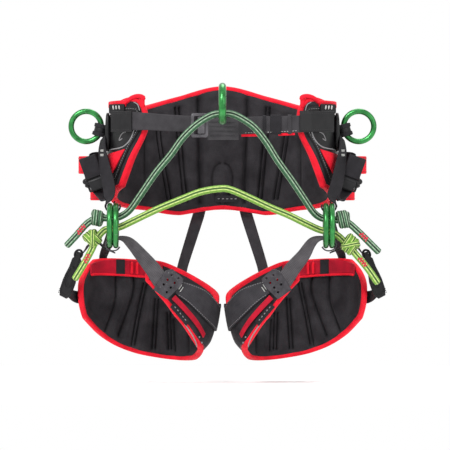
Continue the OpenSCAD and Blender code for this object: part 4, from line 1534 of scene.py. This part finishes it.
def make_front_strap(name, side):
    x = -abs(LOWER_X[name])
    stops = loop_stops(x, RING_LOW_Z, -20, -250, 8, 14)
    stops += [
        ((x + 14, -104, -141), (0, 1, 0.6), 14),
        ((x + 27, -103, -148), (0.4, 0.4, 1), 17),
        ((-128, -100, -168), (1, 0.1, 0.8), 21),
        ((-110, -98, -190), (1, 0, 0.6), 25),
        ((-97, -95.2, -210), (1, 0.2, 0.6), 26),
    ]
    node = name + "_front_strap"
    shape = strap(stops, 2.2, 10).on_side(side)
    piece(node + "_webbing", shape, name + "_leg", "leg_web", node)


# The buckle is drawn upright about its roller bar, then leant and moved to its place
LEG_BUCKLE_AT = (-229, -30, -166)
LEG_BUCKLE_LEAN = 18.5


def make_side_strap(name, side):
    body = name + "_leg"
    from_rings = [
        ((-174, -98, -162.5), (0, 1, 0), 13),
        ((-184, -84, -158), (0.2, 1, 0), 15),
        ((-197, -70, -149), (0, 1, 0), 17),
        ((-210, -50, -151), (0, 1, 0), 20),
        ((-221, -32, -163), (0, 1, 0), 22),
    ]
    shape = strap(from_rings, 2)
    q = np.linspace(-0.22, 1.7, 130) * 2 * math.pi
    grow = np.linspace(0, 2.6, 130)
    roll = xyz((4.2 + grow) * np.cos(q), 0, (5.4 + grow) * np.sin(q) - 0.5)
    shape.add(sweep_strap(roll, (0, 1, 0), 22, 2.0).moved(turn_y(LEG_BUCKLE_LEAN), LEG_BUCKLE_AT))
    places = ((94, -234, 11), (105, -236, 7.6), (120, -236, 6))
    points = [leg_xyz(a, z) + d * leg_normal(a) for a, z, d in places]
    to_pad = [
        ((-247, -26, -226), (0, 0.6, 1), 16),
        ((-243, -16, -230), (0, 0.4, 1), 18),
        (points[0], (0, 0.2, 1), 19),
        (points[1], (0, 0, 1), 20),
        (points[2], (0, 0, 1), 20),
    ]
    shape.add(strap(to_pad, 2))
    node = name + "_leg_side_strap"
    piece(node + "_webbing", shape.on_side(side), body, "black_web", node)
    make_buckle_trim(name, side)
    dress(name + "_leg_buckle", "plastic", 0.6)
    dress(name + "_leg_tongue", "plastic", 0.6)


def make_outer_riser(name, side):
    """Elastic strap from the belt's lower edge down to the outer back of the leg pad."""
    tangent = np.cross(leg_normal(140), (0, 0, 1))
    tangent = tangent * np.sign(tangent[0])
    places = ((-170, 7.5), (-184, 8.4), (-204, 8.0))
    over = [leg_xyz(140, z) + d * leg_normal(140) for z, d in places]
    stops = [
        ((-173, -13, -79), (0.1, -1, 0), 15),
        ((-173.5, -11, -94), (0.1, -1, 0), 15),
        ((-176, 0, -116), (0.5, -1, 0), 15),
        ((-183, 30, -146), (1, -0.8, 0), 15),
    ]
    stops += [(place, tangent, 15) for place in over]
    shape = strap(stops, 1.8).on_side(side)
    start = (side * 0.173, -0.012, -0.084)
    end = (side * 0.19, 0.06, -0.184)
    bodies = ("hip_belt", name + "_leg", start, end)
    piece(name + "_outer_riser", shape, bodies, "black_web")


def make_buckle_trim(name, side):
    """Raised ribs on both cheeks of the leg buckle and finger grooves on its tongue."""
    shape = Shape()
    outline = [
        (-5, -24), (-8.5, -38), (-9, -60), (-5, -68), (3, -68), (7, -62), (7, -42), (3, -26),
        (-5, -24),
    ]
    tongue = [(-4, -34), (-6, -44), (-4, -54), (1, -56), (4, -48), (2, -36)]
    for y in (-12.7, 12.7):
        for points, radius in ((outline, 0.9), (tongue, 0.7)):
            path = resample(smooth([(x, y, z) for x, z in points], 6), 1.2)
            shape.add(tube(path, radius, 8, (0, -1, 0.1), 0.8))
    for z in (-62, -65, -68):
        shape.add(tube(resample([(-11.0, -9, z), (-11.0, 9, z)], 1.5), 0.8, 8, (1, 0, 0), 0.8))
    shape = shape.moved(turn_y(LEG_BUCKLE_LEAN), LEG_BUCKLE_AT).on_side(side)
    piece(name + "_leg_buckle_ribs", shape, name + "_leg", "plastic")


def make_riser(name, side):
    stops = [
        ((-32, 122.2, -58), (1, 0.1, 0), 19),
        ((-34, 122.6, -80), (1, 0.1, 0), 19),
        ((-38, 124, -100), (1, 0.1, 0), 19),
        ((-44, 118, -120), (1, 0, 0), 19),
        ((-62, 96, -178), (1, -0.2, 0), 18),
        ((-66, 87.5, -194), (1, -0.3, 0), 18),
        ((-69, 84.4, -208), (1, -0.4, 0), 18),
    ]
    shape = strap(stops, 2, 16).on_side(side)
    start = (side * 0.034, 0.1226, -0.085)
    end = (side * 0.066, 0.0875, -0.192)
    node = name + "_riser_strap"
    bodies = ("hip_belt", name + "_leg", start, end)
    piece(node + "_webbing", shape, bodies, "riser_web", node)


# ---- Floor, and the whole ----

FLOOR_GAP = 34


def make_floor():
    """Pale paper, below the lowest point that a swung leg loop reaches."""
    low = cad_box[0][2] / MM - FLOOR_GAP
    grid = [[(x, y, low) for x in np.linspace(-900, 900, 31)] for y in np.linspace(-700, 900, 31)]
    under = [[(x, y, z - 10) for x, y, z in row] for row in grid]
    shape = shell(grid, under)
    mesh = bpy.data.meshes.new("floor")
    mesh.from_pydata((shape.points * MM).tolist(), [], shape.faces)
    mesh.materials.append(floor_paper())
    floor = add_to_scene("floor", mesh)


def make_all():
    add_camera()
    make_ropes()
    add_lights()
    make_back_pad()
    make_pad_binding()
    make_back_webbing()
    make_centre_label()
    make_rings()
    make_waist()
    for name, side in SIDES.items():
        for make in (
            make_side_panel, make_wing_trim, make_slot_plate, make_keeper_wraps, make_ring_flap,
            make_hip_webbing, make_adjuster, make_gear_loops, make_loop_stud, make_leg_pad,
            make_leg_binding, make_leg_hem, make_leg_webbing, make_front_strap, make_side_strap,
            make_outer_riser, make_riser,
        ):
            make(name, side)
    make_floor()


make_all()
